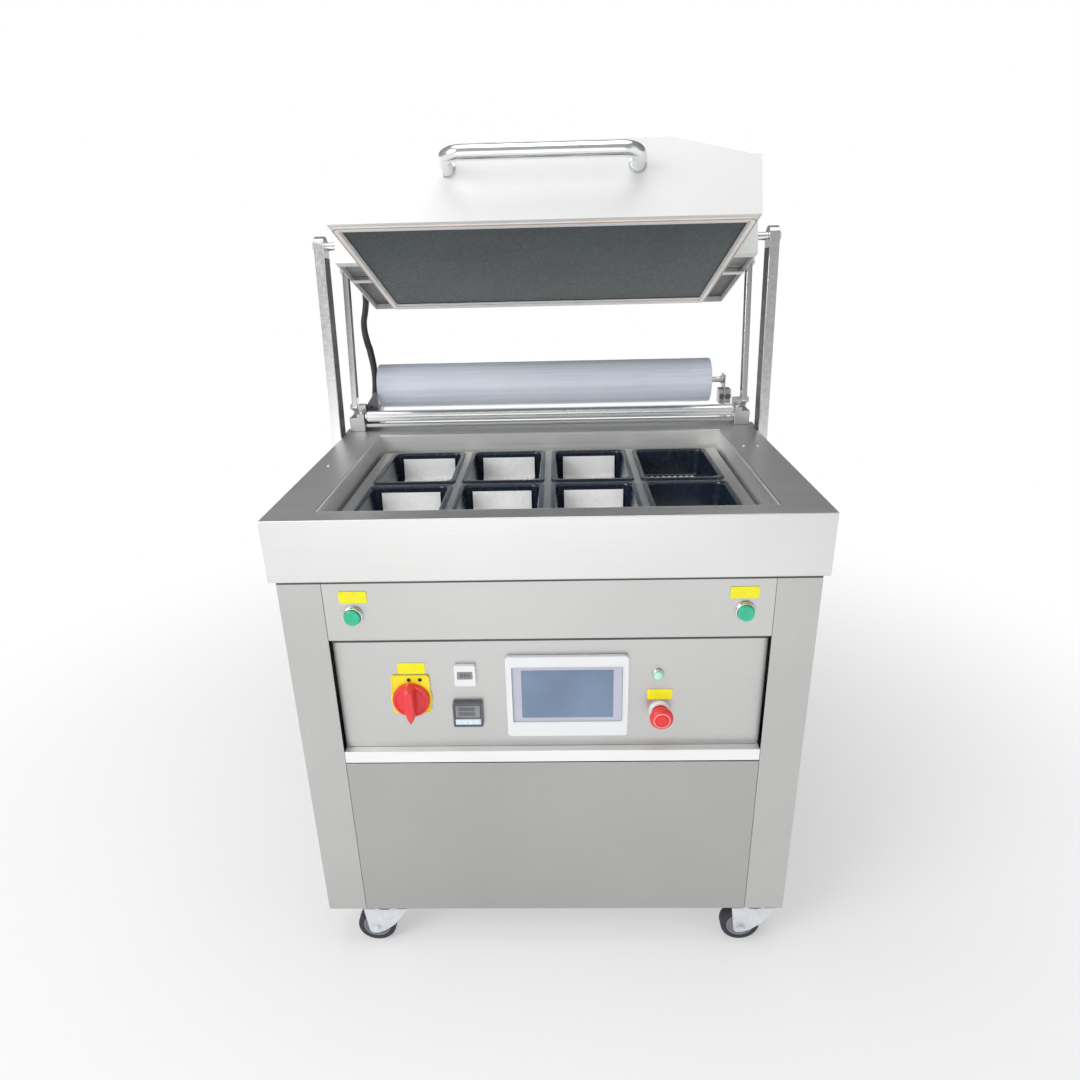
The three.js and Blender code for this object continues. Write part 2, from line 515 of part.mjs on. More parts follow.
// ---------------------------------------------------------------- film feed
function buildFilmFeed(machine) {
  const { y, z, radius, core, left, right } = FILM;
  const sleeve = turnedX([[left, 0], [left, radius], [right, radius], [right, 0]], y, z, 32);
  const hole = turnedX([[left - 1, 0], [left - 1, core], [right + 1, core], [right + 1, 0]], y, z, 20);
  add(machine, 'film_roll', cut(sleeve, hole), FILM_PLASTIC);

  // The spindle is a slim rod with a plug inside each end of the roll.
  const neck = 6;
  const overhang = CRADLE.sheet + 2;
  const leftEnd = -CRADLE.inner.left - overhang;
  const rightEnd = CRADLE.inner.right + overhang;
  const spindle = [
    [leftEnd, 0], [leftEnd, neck], [left + 2, neck], [left + 2, core - GAP], [left + 50, core - GAP],
    [left + 50, neck + 5], [right - 50, neck + 5], [right - 50, core - GAP], [right - 2, core - GAP],
    [right - 2, neck], [rightEnd, neck], [rightEnd, 0],
  ];
  add(machine, 'roll_spindle', turnedX(spindle, y, z, 20), STEEL);

  for (const [label, side] of SIDES) {
    const inner = CRADLE.inner[label];
    const [x0, x1] = span(side, inner, inner + CRADLE.sheet);
    const plate = sideProfile([
      [RIM.depth + GAP, CRADLE.bottom], [y + CRADLE.depth / 2, CRADLE.bottom],
      [y + CRADLE.depth / 2, z + CRADLE.top], [y - CRADLE.depth / 2, z + CRADLE.top],
      [y - CRADLE.depth / 2, CRADLE.bottom + 46], [RIM.depth + GAP, CRADLE.bottom + 14],
    ], x0, x1);
    const slot = join(
      turnedX([[x0 - 1, 0], [x0 - 1, neck + GAP], [x1 + 1, neck + GAP], [x1 + 1, 0]], y, z, 20),
      block(x0 - 1, x1 + 1, y - neck - GAP, y + neck + GAP, z, z + 30),
    );
    const support = side > 0
      ? block(inner - 9, inner + 17, y - 14, y + 14, z - 52, z - 20)
      : frontProfile([
        [GUSSET.left, CRADLE.bottom], [GUSSET.right, CRADLE.bottom], [GUSSET.right, GUSSET.peak - 12],
        [GUSSET.peakX, GUSSET.peak], [GUSSET.left, GUSSET.shoulder],
      ], GUSSET.y, GUSSET.y + GUSSET.sheet);
    add(machine, `roll_cradle_${label}`, join(cut(plate, slot), support), STEEL);
  }

  const shoulder = BLOCK.inner - GAP;
  const guide = [
    [-shoulder, 0], [-shoulder, 6], [-ROLLER.half, 6], [-ROLLER.half, ROLLER.radius], [ROLLER.half, ROLLER.radius],
    [ROLLER.half, 6], [shoulder, 6], [shoulder, 0],
  ];
  add(machine, 'guide_roller', turnedX(guide, ROLLER.y, ROLLER.z, 20), BRIGHT);
  const rod = [[-shoulder, 0], [-shoulder, LOWER_BAR.radius], [shoulder, LOWER_BAR.radius], [shoulder, 0]];
  add(machine, 'lower_bar', turnedX(rod, LOWER_BAR.y, LOWER_BAR.z, 20), STEEL);
}

// ---------------------------------------------------------------- casters
// Each caster is drawn round its own swivel line, trailing towards -Y, then turned to roll sideways.
function buildCasters(machine) {
  const { wheelX, inset, trail, radius, tread, sides } = CASTER;
  const top = CABINET.bottom - GAP;
  const half = tread / 2;
  const outer = half + 6;                       // outer faces of the fork legs
  const hub = outer - 3 - GAP;
  const leg = [
    [-42, 84], [-38, 50], [-35, 30], [-30, 25], [-18, 25], [-5, 31], [15, 46], [42, 84],
  ];
  const tyre = [
    [-hub, 0], [-hub, 8], [-half, 9], [-half + 2, 24], [-half, 27], [-half, radius - 2],
    [-half + 2, radius], [half - 2, radius], [half, radius - 2], [half, 27],
    [half - 2, 24], [half, 9], [hub, 8], [hub, 0],
  ];
  const flats = 1 / Math.cos(Math.PI / sides);  // so that a flat of the rim, not a corner, meets the floor

  for (const [row, y] of [['front', CABINET.front + inset], ['rear', CABINET.back - inset]]) {
    for (const [label] of SIDES) {
      const x = wheelX[label] + trail;
      const place = (geometry) => geometry.rotateZ(-Math.PI / 2).translate(x, y, 0);
      const crown = block(-outer, outer, -42, 42, 83, 87);
      const race = turnedZ([[86, 0], [86, 27], [94, 27], [96, 20], [top, 20], [top, 0]], 0, 0, 20);
      const legs = [-1, 1].map((end) => sideProfile(leg, ...span(end, outer - 3, outer)));
      add(machine, `caster_fork_${row}_${label}`, place(join(crown, race, ...legs)), BRIGHT);

      const wheel = turnedX(tyre, 0, 0, sides).rotateX(Math.PI / sides).scale(1, flats, flats);
      add(machine, `caster_wheel_${row}_${label}`, place(wheel.translate(0, -trail, radius)), TYRE);
    }
  }
}

// ---------------------------------------------------------------- assembly
const machine = new THREE.Group();
machine.position.set(0, -MIDDLE_Y, 0);
buildWorktop(machine);
buildMould(machine);
buildCabinet(machine);
buildPump(machine);
buildControls(machine);
buildLid(machine);
buildLinkage(machine);
buildConduit(machine);
buildFilmFeed(machine);
buildCasters(machine);

const packer = new THREE.Group();
packer.add(machine);

export default packer;
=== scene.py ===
"""Vacuum packing machine: the visual model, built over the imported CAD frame.

Lengths are written in millimetres in the machine's own axes: X to the right, Y back from the
front edge of the worktop, Z up from the floor. MACHINE and LID turn them into the frame's metres.
"""
import json
import math

import bmesh
import bpy
from mathutils import Matrix, Vector

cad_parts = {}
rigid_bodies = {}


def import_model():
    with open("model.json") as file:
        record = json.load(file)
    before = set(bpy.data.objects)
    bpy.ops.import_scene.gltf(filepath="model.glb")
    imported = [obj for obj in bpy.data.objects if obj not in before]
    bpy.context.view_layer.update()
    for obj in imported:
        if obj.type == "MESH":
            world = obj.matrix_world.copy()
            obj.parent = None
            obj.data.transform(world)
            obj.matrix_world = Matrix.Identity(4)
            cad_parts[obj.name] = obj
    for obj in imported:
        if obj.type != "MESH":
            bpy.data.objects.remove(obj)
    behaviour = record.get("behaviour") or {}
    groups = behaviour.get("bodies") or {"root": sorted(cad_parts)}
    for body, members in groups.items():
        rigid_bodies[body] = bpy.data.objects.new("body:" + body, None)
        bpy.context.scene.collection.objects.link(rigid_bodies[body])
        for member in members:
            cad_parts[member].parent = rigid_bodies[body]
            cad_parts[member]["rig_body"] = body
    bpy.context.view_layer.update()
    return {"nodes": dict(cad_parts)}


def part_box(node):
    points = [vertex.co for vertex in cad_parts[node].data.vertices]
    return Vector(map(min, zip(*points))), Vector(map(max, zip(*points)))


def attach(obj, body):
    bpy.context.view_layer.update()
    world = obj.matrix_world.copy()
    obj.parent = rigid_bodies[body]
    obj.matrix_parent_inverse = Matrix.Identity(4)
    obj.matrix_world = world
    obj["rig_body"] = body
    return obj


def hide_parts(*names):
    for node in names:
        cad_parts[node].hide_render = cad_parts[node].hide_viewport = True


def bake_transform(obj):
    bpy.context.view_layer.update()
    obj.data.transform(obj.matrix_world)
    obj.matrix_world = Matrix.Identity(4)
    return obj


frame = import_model()
NODES = frame["nodes"]

MM = 0.001
SCALE = Matrix.Scale(MM, 4)
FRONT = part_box("worktop_rim")[0].y
MACHINE = Matrix.Translation((0, FRONT, 0)) @ SCALE
LID_TILT = math.radians(-20.3)
LID_CORNER = Vector((0, 338, 1329.8))
LID = MACHINE @ Matrix.Translation(LID_CORNER) @ Matrix.Rotation(LID_TILT, 4, "X")
ALONG_X = Matrix.Rotation(math.radians(90), 4, "Y")
OUT_FRONT = Matrix.Rotation(math.radians(90), 4, "X")
OUT_BACK = Matrix.Rotation(math.radians(-90), 4, "X")
IN_PLACE = Matrix.Identity(4)
SIDES = (("left", -1), ("right", 1))
RIM_TOP = 911
FACE = 35.6                 # front of the control panel
SKIN = 19.6                 # front of the fascia
CROSS_SHAFT = (655, 873.436)
ARM_ELBOW = (538, 862)
LINK_FOOT = (592, 959)
ROLL_AXIS = (660, 991)


def spot(x, y, z, turn=None, base=MACHINE):
    """A matrix that puts a piece drawn round its own origin at a point of the machine or the lid."""
    return base @ Matrix.Translation((x, y, z)) @ (turn or IN_PLACE)


def on_lid(y, z):
    """A point given in the open lid's own axes, in the machine's axes."""
    return LID_CORNER + Matrix.Rotation(LID_TILT, 3, "X") @ Vector((0, y, z))


LID_PIVOT = on_lid(238, 46)
LINK_HEAD = on_lid(309, 18)
HOSE_GLAND = on_lid(526, 70)


def map_range(tree, source, span, result):
    """A Map Range node that takes source from one (low, high) range to another."""
    node = tree.nodes.new("ShaderNodeMapRange")
    node.inputs["From Min"].default_value, node.inputs["From Max"].default_value = span
    node.inputs["To Min"].default_value, node.inputs["To Max"].default_value = result
    tree.links.new(source, node.inputs["Value"])
    return node


# ---------------------------------------------------------------- camera and lights
def add_camera():
    """The camera's place is in metres; yaw, pitch and roll turn it from looking straight down."""
    data = bpy.data.cameras.new("camera")
    data.lens = 25.756
    data.sensor_width = 36
    camera = bpy.data.objects.new("camera", data)
    yaw = Matrix.Rotation(math.radians(1.593), 4, "Z")
    pitch = Matrix.Rotation(math.radians(90 - 21.97), 4, "X")
    roll = Matrix.Rotation(math.radians(-1.4294), 4, "Z")
    camera.matrix_world = Matrix.Translation((0.02116, -1.54018, 1.31575)) @ yaw @ pitch @ roll
    bpy.context.scene.collection.objects.link(camera)
    bpy.context.scene.camera = camera


def add_light(name, place, aim, size, power):
    """A soft round lamp that faces a point, all in metres, with its power in watts."""
    data = bpy.data.lights.new(name, "AREA")
    data.shape = "DISK"
    data.size = size
    data.energy = power
    lamp = bpy.data.objects.new(name, data)
    lamp.location = place
    lamp.rotation_mode = "QUATERNION"
    lamp.rotation_quaternion = (Vector(aim) - Vector(place)).to_track_quat("-Z", "Y")
    bpy.context.scene.collection.objects.link(lamp)


def add_world():
    """Soft studio surroundings: bright in front and on the left, greyer behind, so that steel has tone."""
    world = bpy.data.worlds.new("studio")
    bpy.context.scene.world = world
    world.use_nodes = True
    tree = world.node_tree
    tree.nodes.clear()
    coordinates = tree.nodes.new("ShaderNodeTexCoord")
    split = tree.nodes.new("ShaderNodeSeparateXYZ")
    to_the_back = map_range(tree, split.outputs["Y"], (-0.5, 0.75), (0.58, 0.30))
    to_the_right = map_range(tree, split.outputs["X"], (-0.8, 0.8), (1.1, 0.72))
    product = tree.nodes.new("ShaderNodeMath")
    product.operation = "MULTIPLY"
    around = tree.nodes.new("ShaderNodeBackground")
    seen = tree.nodes.new("ShaderNodeBackground")
    seen.inputs["Color"].default_value = (1, 1, 1, 1)
    seen.inputs["Strength"].default_value = 1.0
    path = tree.nodes.new("ShaderNodeLightPath")
    mix = tree.nodes.new("ShaderNodeMixShader")
    out = tree.nodes.new("ShaderNodeOutputWorld")
    link = tree.links.new
    link(coordinates.outputs["Generated"], split.inputs[0])
    link(to_the_back.outputs[0], product.inputs[0])
    link(to_the_right.outputs[0], product.inputs[1])
    link(product.outputs[0], around.inputs["Strength"])
    link(path.outputs["Is Camera Ray"], mix.inputs["Fac"])
    link(around.outputs[0], mix.inputs[1])
    link(seen.outputs[0], mix.inputs[2])
    link(mix.outputs[0], out.inputs["Surface"])


add_camera()
add_world()
add_light("key", (-2.6, -2.4, 2.7), (0, 0, 0.8), 2.4, 64)
add_light("fill", (2.8, -2.0, 1.7), (0, 0, 0.7), 2.4, 6)
add_light("top", (0, -0.2, 3.6), (0, 0, 0.9), 2.6, 42)
add_light("low", (-0.3, -3.2, 0.7), (0, 0, 0.6), 2.2, 12)
bpy.context.scene.view_settings.view_transform = "Standard"


# ---------------------------------------------------------------- materials
def surface(name, color, rough, grain, spread, bump, depth, mottle, shade, metal=0.0, coat=0.0, wear=0.0):
    """A procedural finish: a grain that moves roughness and bump, a slow mottle, and paler worn edges."""
    made = bpy.data.materials.new(name)
    made.use_nodes = True
    tree = made.node_tree
    link = tree.links.new
    shader = tree.nodes["Principled BSDF"]
    shader.inputs["Metallic"].default_value = metal
    shader.inputs["Coat Weight"].default_value = coat
    shader.inputs["Coat Roughness"].default_value = 0.12
    where = tree.nodes.new("ShaderNodeTexCoord")

    stretch = tree.nodes.new("ShaderNodeMapping")
    stretch.inputs["Scale"].default_value = grain
    fine = tree.nodes.new("ShaderNodeTexNoise")
    fine.inputs["Scale"].default_value = 1.0
    fine.inputs["Detail"].default_value = 4.0
    link(where.outputs["Object"], stretch.inputs["Vector"])
    link(stretch.outputs[0], fine.inputs["Vector"])
    gloss = map_range(tree, fine.outputs["Fac"], (0.3, 0.7), (max(rough - spread, 0.02), rough + spread))
    link(gloss.outputs[0], shader.inputs["Roughness"])
    raised = tree.nodes.new("ShaderNodeBump")
    raised.inputs["Strength"].default_value = bump
    raised.inputs["Distance"].default_value = depth
    link(fine.outputs["Fac"], raised.inputs["Height"])
    link(raised.outputs[0], shader.inputs["Normal"])

    slow = tree.nodes.new("ShaderNodeTexNoise")
    slow.inputs["Scale"].default_value = mottle
    slow.inputs["Detail"].default_value = 3.0
    link(where.outputs["Object"], slow.inputs["Vector"])
    blend = tree.nodes.new("ShaderNodeMath")
    blend.operation = "MULTIPLY_ADD"
    blend.inputs[1].default_value = 0.6
    link(fine.outputs["Fac"], blend.inputs[0])
    link(slow.outputs["Fac"], blend.inputs[2])
    tone = tree.nodes.new("ShaderNodeValToRGB")
    tone.color_ramp.elements[0].position = 0.45
    tone.color_ramp.elements[1].position = 1.0
    tone.color_ramp.elements[0].color = (*[c * (1 - shade) for c in color], 1)
    tone.color_ramp.elements[1].color = (*[min(c * (1 + shade), 1) for c in color], 1)
    link(blend.outputs[0], tone.inputs["Fac"])
    colour = tone.outputs["Color"]
    if wear:
        geometry = tree.nodes.new("ShaderNodeNewGeometry")
        edges = map_range(tree, geometry.outputs["Pointiness"], (0.52, 0.62), (0.0, wear))
        worn = tree.nodes.new("ShaderNodeMix")
        worn.data_type = "RGBA"
        worn.inputs["B"].default_value = (*[min(c * 1.5 + 0.05, 1) for c in color], 1)
        link(edges.outputs[0], worn.inputs["Factor"])
        link(colour, worn.inputs["A"])
        colour = worn.outputs["Result"]
    link(colour, shader.inputs["Base Color"])
    return made


# Brush lines: a noise that is stretched along one axis
ACROSS = (5, 520, 520)
UPRIGHT = (520, 520, 5)
LENGTHWAYS = (520, 5, 520)


def even(scale):
    """A grain that is equally fine along all three axes."""
    return (scale, scale, scale)


LOOKS = {
    "steel_rim": surface("rim_steel", (0.73, 0.73, 0.725), rough=0.38, metal=1.0, grain=ACROSS, spread=0.07,
        bump=0.16, depth=0.0003, mottle=3.0, shade=0.05),
    # painted light: the tub's steel is made paler than the other steels to stand for the light on its walls
    "steel_tub": surface("tub_steel_painted_light", (0.93, 0.93, 0.92), rough=0.52, metal=1.0, grain=ACROSS, spread=0.07,
        bump=0.16, depth=0.0003, mottle=3.0, shade=0.05),
    "steel_lower": surface("lower_panel_steel", (0.46, 0.46, 0.455), rough=0.40, metal=1.0, grain=ACROSS,
        spread=0.07, bump=0.18, depth=0.0003, mottle=2.5, shade=0.06),
    # painted highlight: the ledge's steel is made near white to stand for the light on its top face
    "ledge": surface("ledge_steel_painted_highlight", (0.93, 0.93, 0.93), rough=0.36, metal=0.6, grain=ACROSS, spread=0.05,
        bump=0.10, depth=0.0002, mottle=6.0, shade=0.03),
    "roller": surface("roller_steel", (0.93, 0.94, 0.95), rough=0.24, metal=0.75, grain=(5, 300, 300),
        spread=0.05, bump=0.08, depth=0.0002, mottle=6.0, shade=0.03),
    # painted shade: a near-black steel for strips and blocks laid where the machine lies in shade
    "shade": surface("painted_shade_steel", (0.10, 0.10, 0.105), rough=0.42, metal=0.8, grain=(120, 20, 120),
        spread=0.08, bump=0.12, depth=0.0003, mottle=9.0, shade=0.25),
    # painted shade, lighter: a mid grey steel for the half-shaded front of the lid's wing channels
    "painted_half_shade": surface("painted_half_shade_steel", (0.30, 0.30, 0.31), rough=0.45, metal=0.9, grain=(120, 20, 120),
        spread=0.08, bump=0.12, depth=0.0003, mottle=9.0, shade=0.15),
    # painted shade: a dark steel for the shaded face of the left roll gusset
    "gusset_painted_shade": surface("gusset_painted_shade", (0.15, 0.15, 0.155), rough=0.40, metal=0.8, grain=even(120),
        spread=0.08, bump=0.12, depth=0.0003, mottle=20.0, shade=0.2),
    # a lighter red, for the ring on the emergency stop's crown
    "pink": surface("light_red_plastic", (0.92, 0.30, 0.30), rough=0.36, grain=even(500), spread=0.05,
        bump=0.08, depth=0.0002, mottle=40.0, shade=0.05),
    "tan": surface("tan_seal", (0.50, 0.36, 0.27), rough=0.6, grain=even(200), spread=0.05, bump=0.1,
        depth=0.0002, mottle=30.0, shade=0.08),
    "steel_x": surface("brushed_steel_across", (0.60, 0.60, 0.59), rough=0.36, metal=1.0, grain=ACROSS,
        spread=0.07, bump=0.16, depth=0.0003, mottle=3.0, shade=0.05),
    "steel_z": surface("brushed_steel_upright", (0.55, 0.55, 0.54), rough=0.38, metal=1.0, grain=UPRIGHT,
        spread=0.07, bump=0.16, depth=0.0003, mottle=3.0, shade=0.05),
    "steel_y": surface("brushed_steel_lengthways", (0.58, 0.58, 0.57), rough=0.34, metal=1.0,
        grain=LENGTHWAYS, spread=0.07, bump=0.16, depth=0.0003, mottle=3.0, shade=0.06),
    "bright": surface("polished_steel", (0.80, 0.81, 0.82), rough=0.20, metal=1.0, grain=even(160),
        spread=0.05, bump=0.05, depth=0.0002, mottle=9.0, shade=0.04),
    "white": surface("bead_blasted_steel", (0.80, 0.80, 0.80), rough=0.50, metal=0.30, grain=even(900),
        spread=0.05, bump=0.12, depth=0.0002, mottle=2.5, shade=0.02),
    "heater": surface("heater_coating", (0.024, 0.038, 0.041), rough=0.50, metal=0.1, grain=(240, 30, 240),
        spread=0.08, bump=0.12, depth=0.0003, mottle=7.0, shade=0.28),
    "silicone": surface("silicone", (0.88, 0.85, 0.82), rough=0.62, grain=even(300), spread=0.05, bump=0.1,
        depth=0.0002, mottle=30.0, shade=0.05),
    "black": surface("black_plastic", (0.022, 0.023, 0.025), rough=0.46, grain=even(900), spread=0.07,
        bump=0.25, depth=0.0002, mottle=40.0, shade=0.2, wear=0.2),
    "tray": surface("tray_plastic", (0.010, 0.017, 0.032), rough=0.24, grain=even(90), spread=0.06,
        bump=0.05, depth=0.0003, mottle=18.0, shade=0.2, coat=0.3, wear=0.08),
    "film": surface("wound_film", (0.80, 0.86, 1.0), rough=0.28, grain=(3, 160, 160), spread=0.08,
        bump=0.10, depth=0.0008, mottle=4.0, shade=0.07, coat=0.5),
    "card": surface("card_core", (0.47, 0.36, 0.24), rough=0.8, grain=(60, 300, 300), spread=0.05, bump=0.2,
        depth=0.0003, mottle=30.0, shade=0.12),
    "red": surface("red_plastic", (0.80, 0.03, 0.035), rough=0.32, grain=even(500), spread=0.05, bump=0.08,
        depth=0.0002, mottle=40.0, shade=0.06, coat=0.25, wear=0.35),
    "yellow": surface("yellow_plastic", (0.93, 0.80, 0.015), rough=0.38, grain=even(500), spread=0.05,
        bump=0.08, depth=0.0002, mottle=40.0, shade=0.04, coat=0.15),
    "label": surface("label_vinyl", (0.92, 0.86, 0.01), rough=0.42, grain=even(800), spread=0.04, bump=0.06,
        depth=0.0001, mottle=60.0, shade=0.05),
    "green": surface("green_plastic", (0.02, 0.50, 0.28), rough=0.26, grain=even(400), spread=0.05,
        bump=0.05, depth=0.0002, mottle=40.0, shade=0.08, coat=0.4, wear=0.3),
    "mint": surface("lamp_lens", (0.45, 0.80, 0.66), rough=0.16, grain=even(400), spread=0.05, bump=0.1,
        depth=0.0003, mottle=90.0, shade=0.15, coat=0.6),
    "pale": surface("pale_plastic", (0.83, 0.84, 0.86), rough=0.42, grain=even(700), spread=0.06, bump=0.15,
        depth=0.0002, mottle=30.0, shade=0.02),
    "liner": surface("absorbent_liner", (0.96, 0.95, 0.94), rough=0.82, grain=even(240), spread=0.05,
        bump=0.4, depth=0.0005, mottle=60.0, shade=0.06),
    "lilac": surface("display_glass", (0.52, 0.53, 0.62), rough=0.14, grain=even(40), spread=0.03,
        bump=0.02, depth=0.0002, mottle=9.0, shade=0.04, coat=0.5),
    "screen": surface("display_area", (0.155, 0.225, 0.345), rough=0.10, grain=even(12), spread=0.03,
        bump=0.02, depth=0.0002, mottle=11.0, shade=0.16, coat=0.6),
    "window": surface("meter_window", (0.24, 0.24, 0.25), rough=0.12, grain=even(60), spread=0.03,
        bump=0.02, depth=0.0002, mottle=20.0, shade=0.1, coat=0.5),
    "keys": surface("key_strip", (0.66, 0.80, 0.92), rough=0.40, grain=even(500), spread=0.04, bump=0.08,
        depth=0.0002, mottle=50.0, shade=0.04),
    "slate": surface("slate_plastic", (0.105, 0.11, 0.125), rough=0.40, grain=even(700), spread=0.06,
        bump=0.2, depth=0.0002, mottle=40.0, shade=0.1, wear=0.3),
    "tyre": surface("tyre_rubber", (0.030, 0.028, 0.036), rough=0.66, grain=even(500), spread=0.08,
        bump=0.3, depth=0.0003, mottle=50.0, shade=0.25, wear=0.2),
    "hub": surface("hub_plastic", (0.22, 0.23, 0.27), rough=0.5, grain=even(400), spread=0.05, bump=0.15,
        depth=0.0002, mottle=40.0, shade=0.1),
    "zinc": surface("zinc_plate", (0.73, 0.76, 0.80), rough=0.34, metal=0.75, grain=even(140), spread=0.08,
        bump=0.1, depth=0.0003, mottle=24.0, shade=0.10),
    "pump": surface("pump_paint", (0.10, 0.13, 0.17), rough=0.45, metal=0.2, grain=even(260), spread=0.07,
        bump=0.3, depth=0.0004, mottle=20.0, shade=0.12, wear=0.3),
}


# ---------------------------------------------------------------- mesh tools
def piece(name, bm, look, body, matrix=MACHINE, sharp=38, bevel=0.0, stands_for=()):
    """Turns a bmesh into a piece that rides on a body; sharp is in degrees, bevel in millimetres."""
    bmesh.ops.recalc_face_normals(bm, faces=bm.faces)
    mesh = bpy.data.meshes.new(name)
    bm.to_mesh(mesh)
    bm.free()
    mesh.transform(matrix)
    mesh.shade_smooth()
    mesh.set_sharp_from_angle(angle=math.radians(sharp))
    mesh.materials.append(LOOKS[look])
    obj = bpy.data.objects.new(name, mesh)
    bpy.context.scene.collection.objects.link(obj)
    if bevel:
        rounding = obj.modifiers.new("rounded_edges", "BEVEL")
        rounding.width = bevel * MM
        rounding.segments = 2
        rounding.limit_method = "ANGLE"
        rounding.angle_limit = math.radians(32)
        rounding.miter_outer = "MITER_ARC"
    if body:                # the hose has no body of its own, and its ribs keep plain smooth normals
        flat_faces = obj.modifiers.new("flat_faces", "WEIGHTED_NORMAL")
        flat_faces.keep_sharp = True
        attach(obj, body)
    if stands_for:
        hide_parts(*stands_for)
    return obj


def lathe(profile, steps):
    """A solid of revolution about Z from (radius, height) pairs; a radius of 0 closes the end."""
    bm = bmesh.new()
    rings = []
    for radius, height in profile:
        if radius <= 0:
            rings.append([bm.verts.new((0, 0, height))])
            continue
        angles = [2 * math.pi * i / steps for i in range(steps)]
        rings.append([bm.verts.new((radius * math.cos(a), radius * math.sin(a), height)) for a in angles])
    for low, high in zip(rings, rings[1:]):
        for i in range(steps):
            j = (i + 1) % steps
            corners = [low[i % len(low)], low[j % len(low)], high[j % len(high)], high[i % len(high)]]
            corners = list(dict.fromkeys(corners))
            if len(corners) > 2:
                bm.faces.new(corners)
    return bm


def loft(loops, closed=False):
    """A skin over loops of points that all have the same count; both ends are capped unless it is closed."""
    bm = bmesh.new()
    rings = [[bm.verts.new(p) for p in loop] for loop in loops]
    count = len(rings[0])
    pairs = list(zip(rings, rings[1:])) + ([(rings[-1], rings[0])] if closed else [])
    for low, high in pairs:
        for i in range(count):
            j = (i + 1) % count
            bm.faces.new((low[i], low[j], high[j], high[i]))
    if not closed:
        bm.faces.new(rings[0])
        bm.faces.new(rings[-1])
    return bm


def rounded(half_x, half_y, corner, height, steps=5):
    """A rectangle with round corners, as points at one height."""
    points = []
    for cx, cy, start in ((1, 1, 0), (-1, 1, 90), (-1, -1, 180), (1, -1, 270)):
        for i in range(steps + 1):
            angle = math.radians(start + 90 * i / steps)
            points.append((cx * (half_x - corner) + corner * math.cos(angle),
                           cy * (half_y - corner) + corner * math.sin(angle), height))
    return points


def pad(half_x, half_y, corner, thick, edge=0.6):
    """A plate with round corners and softened edges, from height 0 to thick."""
    return loft([
        rounded(half_x, half_y, corner, 0),
        rounded(half_x, half_y, corner, thick - edge),
        rounded(half_x - edge * 0.4, half_y - edge * 0.4, corner, thick - edge * 0.3),
        rounded(half_x - edge, half_y - edge, max(corner - edge, 0.3), thick),
    ])


def prism(outline, low, high):
    """An outline of (x, y) points drawn up from one height to another."""
    return loft([[(x, y, low) for x, y in outline], [(x, y, high) for x, y in outline]])


def together(*parts):
    """Several (bmesh, matrix) parts as one bmesh."""
    whole = bmesh.new()
    for part, matrix in parts:
        keep = bpy.data.meshes.new("part")
        part.to_mesh(keep)
        part.free()
        keep.transform(matrix)
        whole.from_mesh(keep)
        bpy.data.meshes.remove(keep)
    return whole


def along(points, radius, sides):
    """A tube round a line of points; radius is a number or a function of the point's index."""
    width = radius if callable(radius) else (lambda _: radius)
    loops = []
    normal = None
    for i, point in enumerate(points):
        before = points[max(i - 1, 0)]
        after = points[min(i + 1, len(points) - 1)]
        heading = (after - before).normalized()
        if normal is None:
            normal = heading.orthogonal()
        normal = (normal - heading * normal.dot(heading)).normalized()
        other = heading.cross(normal)
        ring = []
        for k in range(sides):
            angle = 2 * math.pi * k / sides
            ring.append(point + (normal * math.cos(angle) + other * math.sin(angle)) * width(i))
        loops.append(ring)
    return loft(loops)


def curve_through(route, spacing):
    """Evenly spaced points on a centripetal Catmull-Rom curve through the route, and its length."""
    per_span = 24
    points = [Vector(p) for p in route]
    points = [points[0] * 2 - points[1], *points, points[-1] * 2 - points[-2]]
    fine = []
    for p0, p1, p2, p3 in zip(points, points[1:], points[2:], points[3:]):
        t0 = 0.0
        t1 = t0 + (p1 - p0).length ** 0.5
        t2 = t1 + (p2 - p1).length ** 0.5
        t3 = t2 + (p3 - p2).length ** 0.5
        for k in range(per_span):
            t = t1 + (t2 - t1) * k / per_span
            a1 = p0 * ((t1 - t) / (t1 - t0)) + p1 * ((t - t0) / (t1 - t0))
            a2 = p1 * ((t2 - t) / (t2 - t1)) + p2 * ((t - t1) / (t2 - t1))
            a3 = p2 * ((t3 - t) / (t3 - t2)) + p3 * ((t - t2) / (t3 - t2))
            b1 = a1 * ((t2 - t) / (t2 - t0)) + a2 * ((t - t0) / (t2 - t0))
            b2 = a2 * ((t3 - t) / (t3 - t1)) + a3 * ((t - t1) / (t3 - t1))
            fine.append(b1 * ((t2 - t) / (t2 - t1)) + b2 * ((t - t1) / (t2 - t1)))
    fine.append(points[-2])
    length = sum((b - a).length for a, b in zip(fine, fine[1:]))
    count = round(length / spacing)
    spaced = [fine[0]]
    step = length / count
    walked = 0.0
    for a, b in zip(fine, fine[1:]):
        run = (b - a).length
        while len(spaced) < count and walked + run >= step * len(spaced):
            spaced.append(a.lerp(b, (step * len(spaced) - walked) / run))
        walked += run
    spaced.append(fine[-1])
    return spaced, length


def refined(node, look, bevel, merge_flat=True, sharp=30):
    """The CAD node's own shape with softly rounded edges; folds above sharp degrees stay crisp."""
    bm = bmesh.new()
    bm.from_mesh(NODES[node].data)
    for layer in list(bm.loops.layers.uv):
        bm.loops.layers.uv.remove(layer)
    bmesh.ops.remove_doubles(bm, verts=bm.verts, dist=0.00002)
    if merge_flat:
        bmesh.ops.dissolve_limit(bm, angle_limit=math.radians(1.5), verts=bm.verts, edges=bm.edges)
    piece(node + "_finished", bm, look, NODES[node]["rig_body"], IN_PLACE, sharp, bevel, (node,))


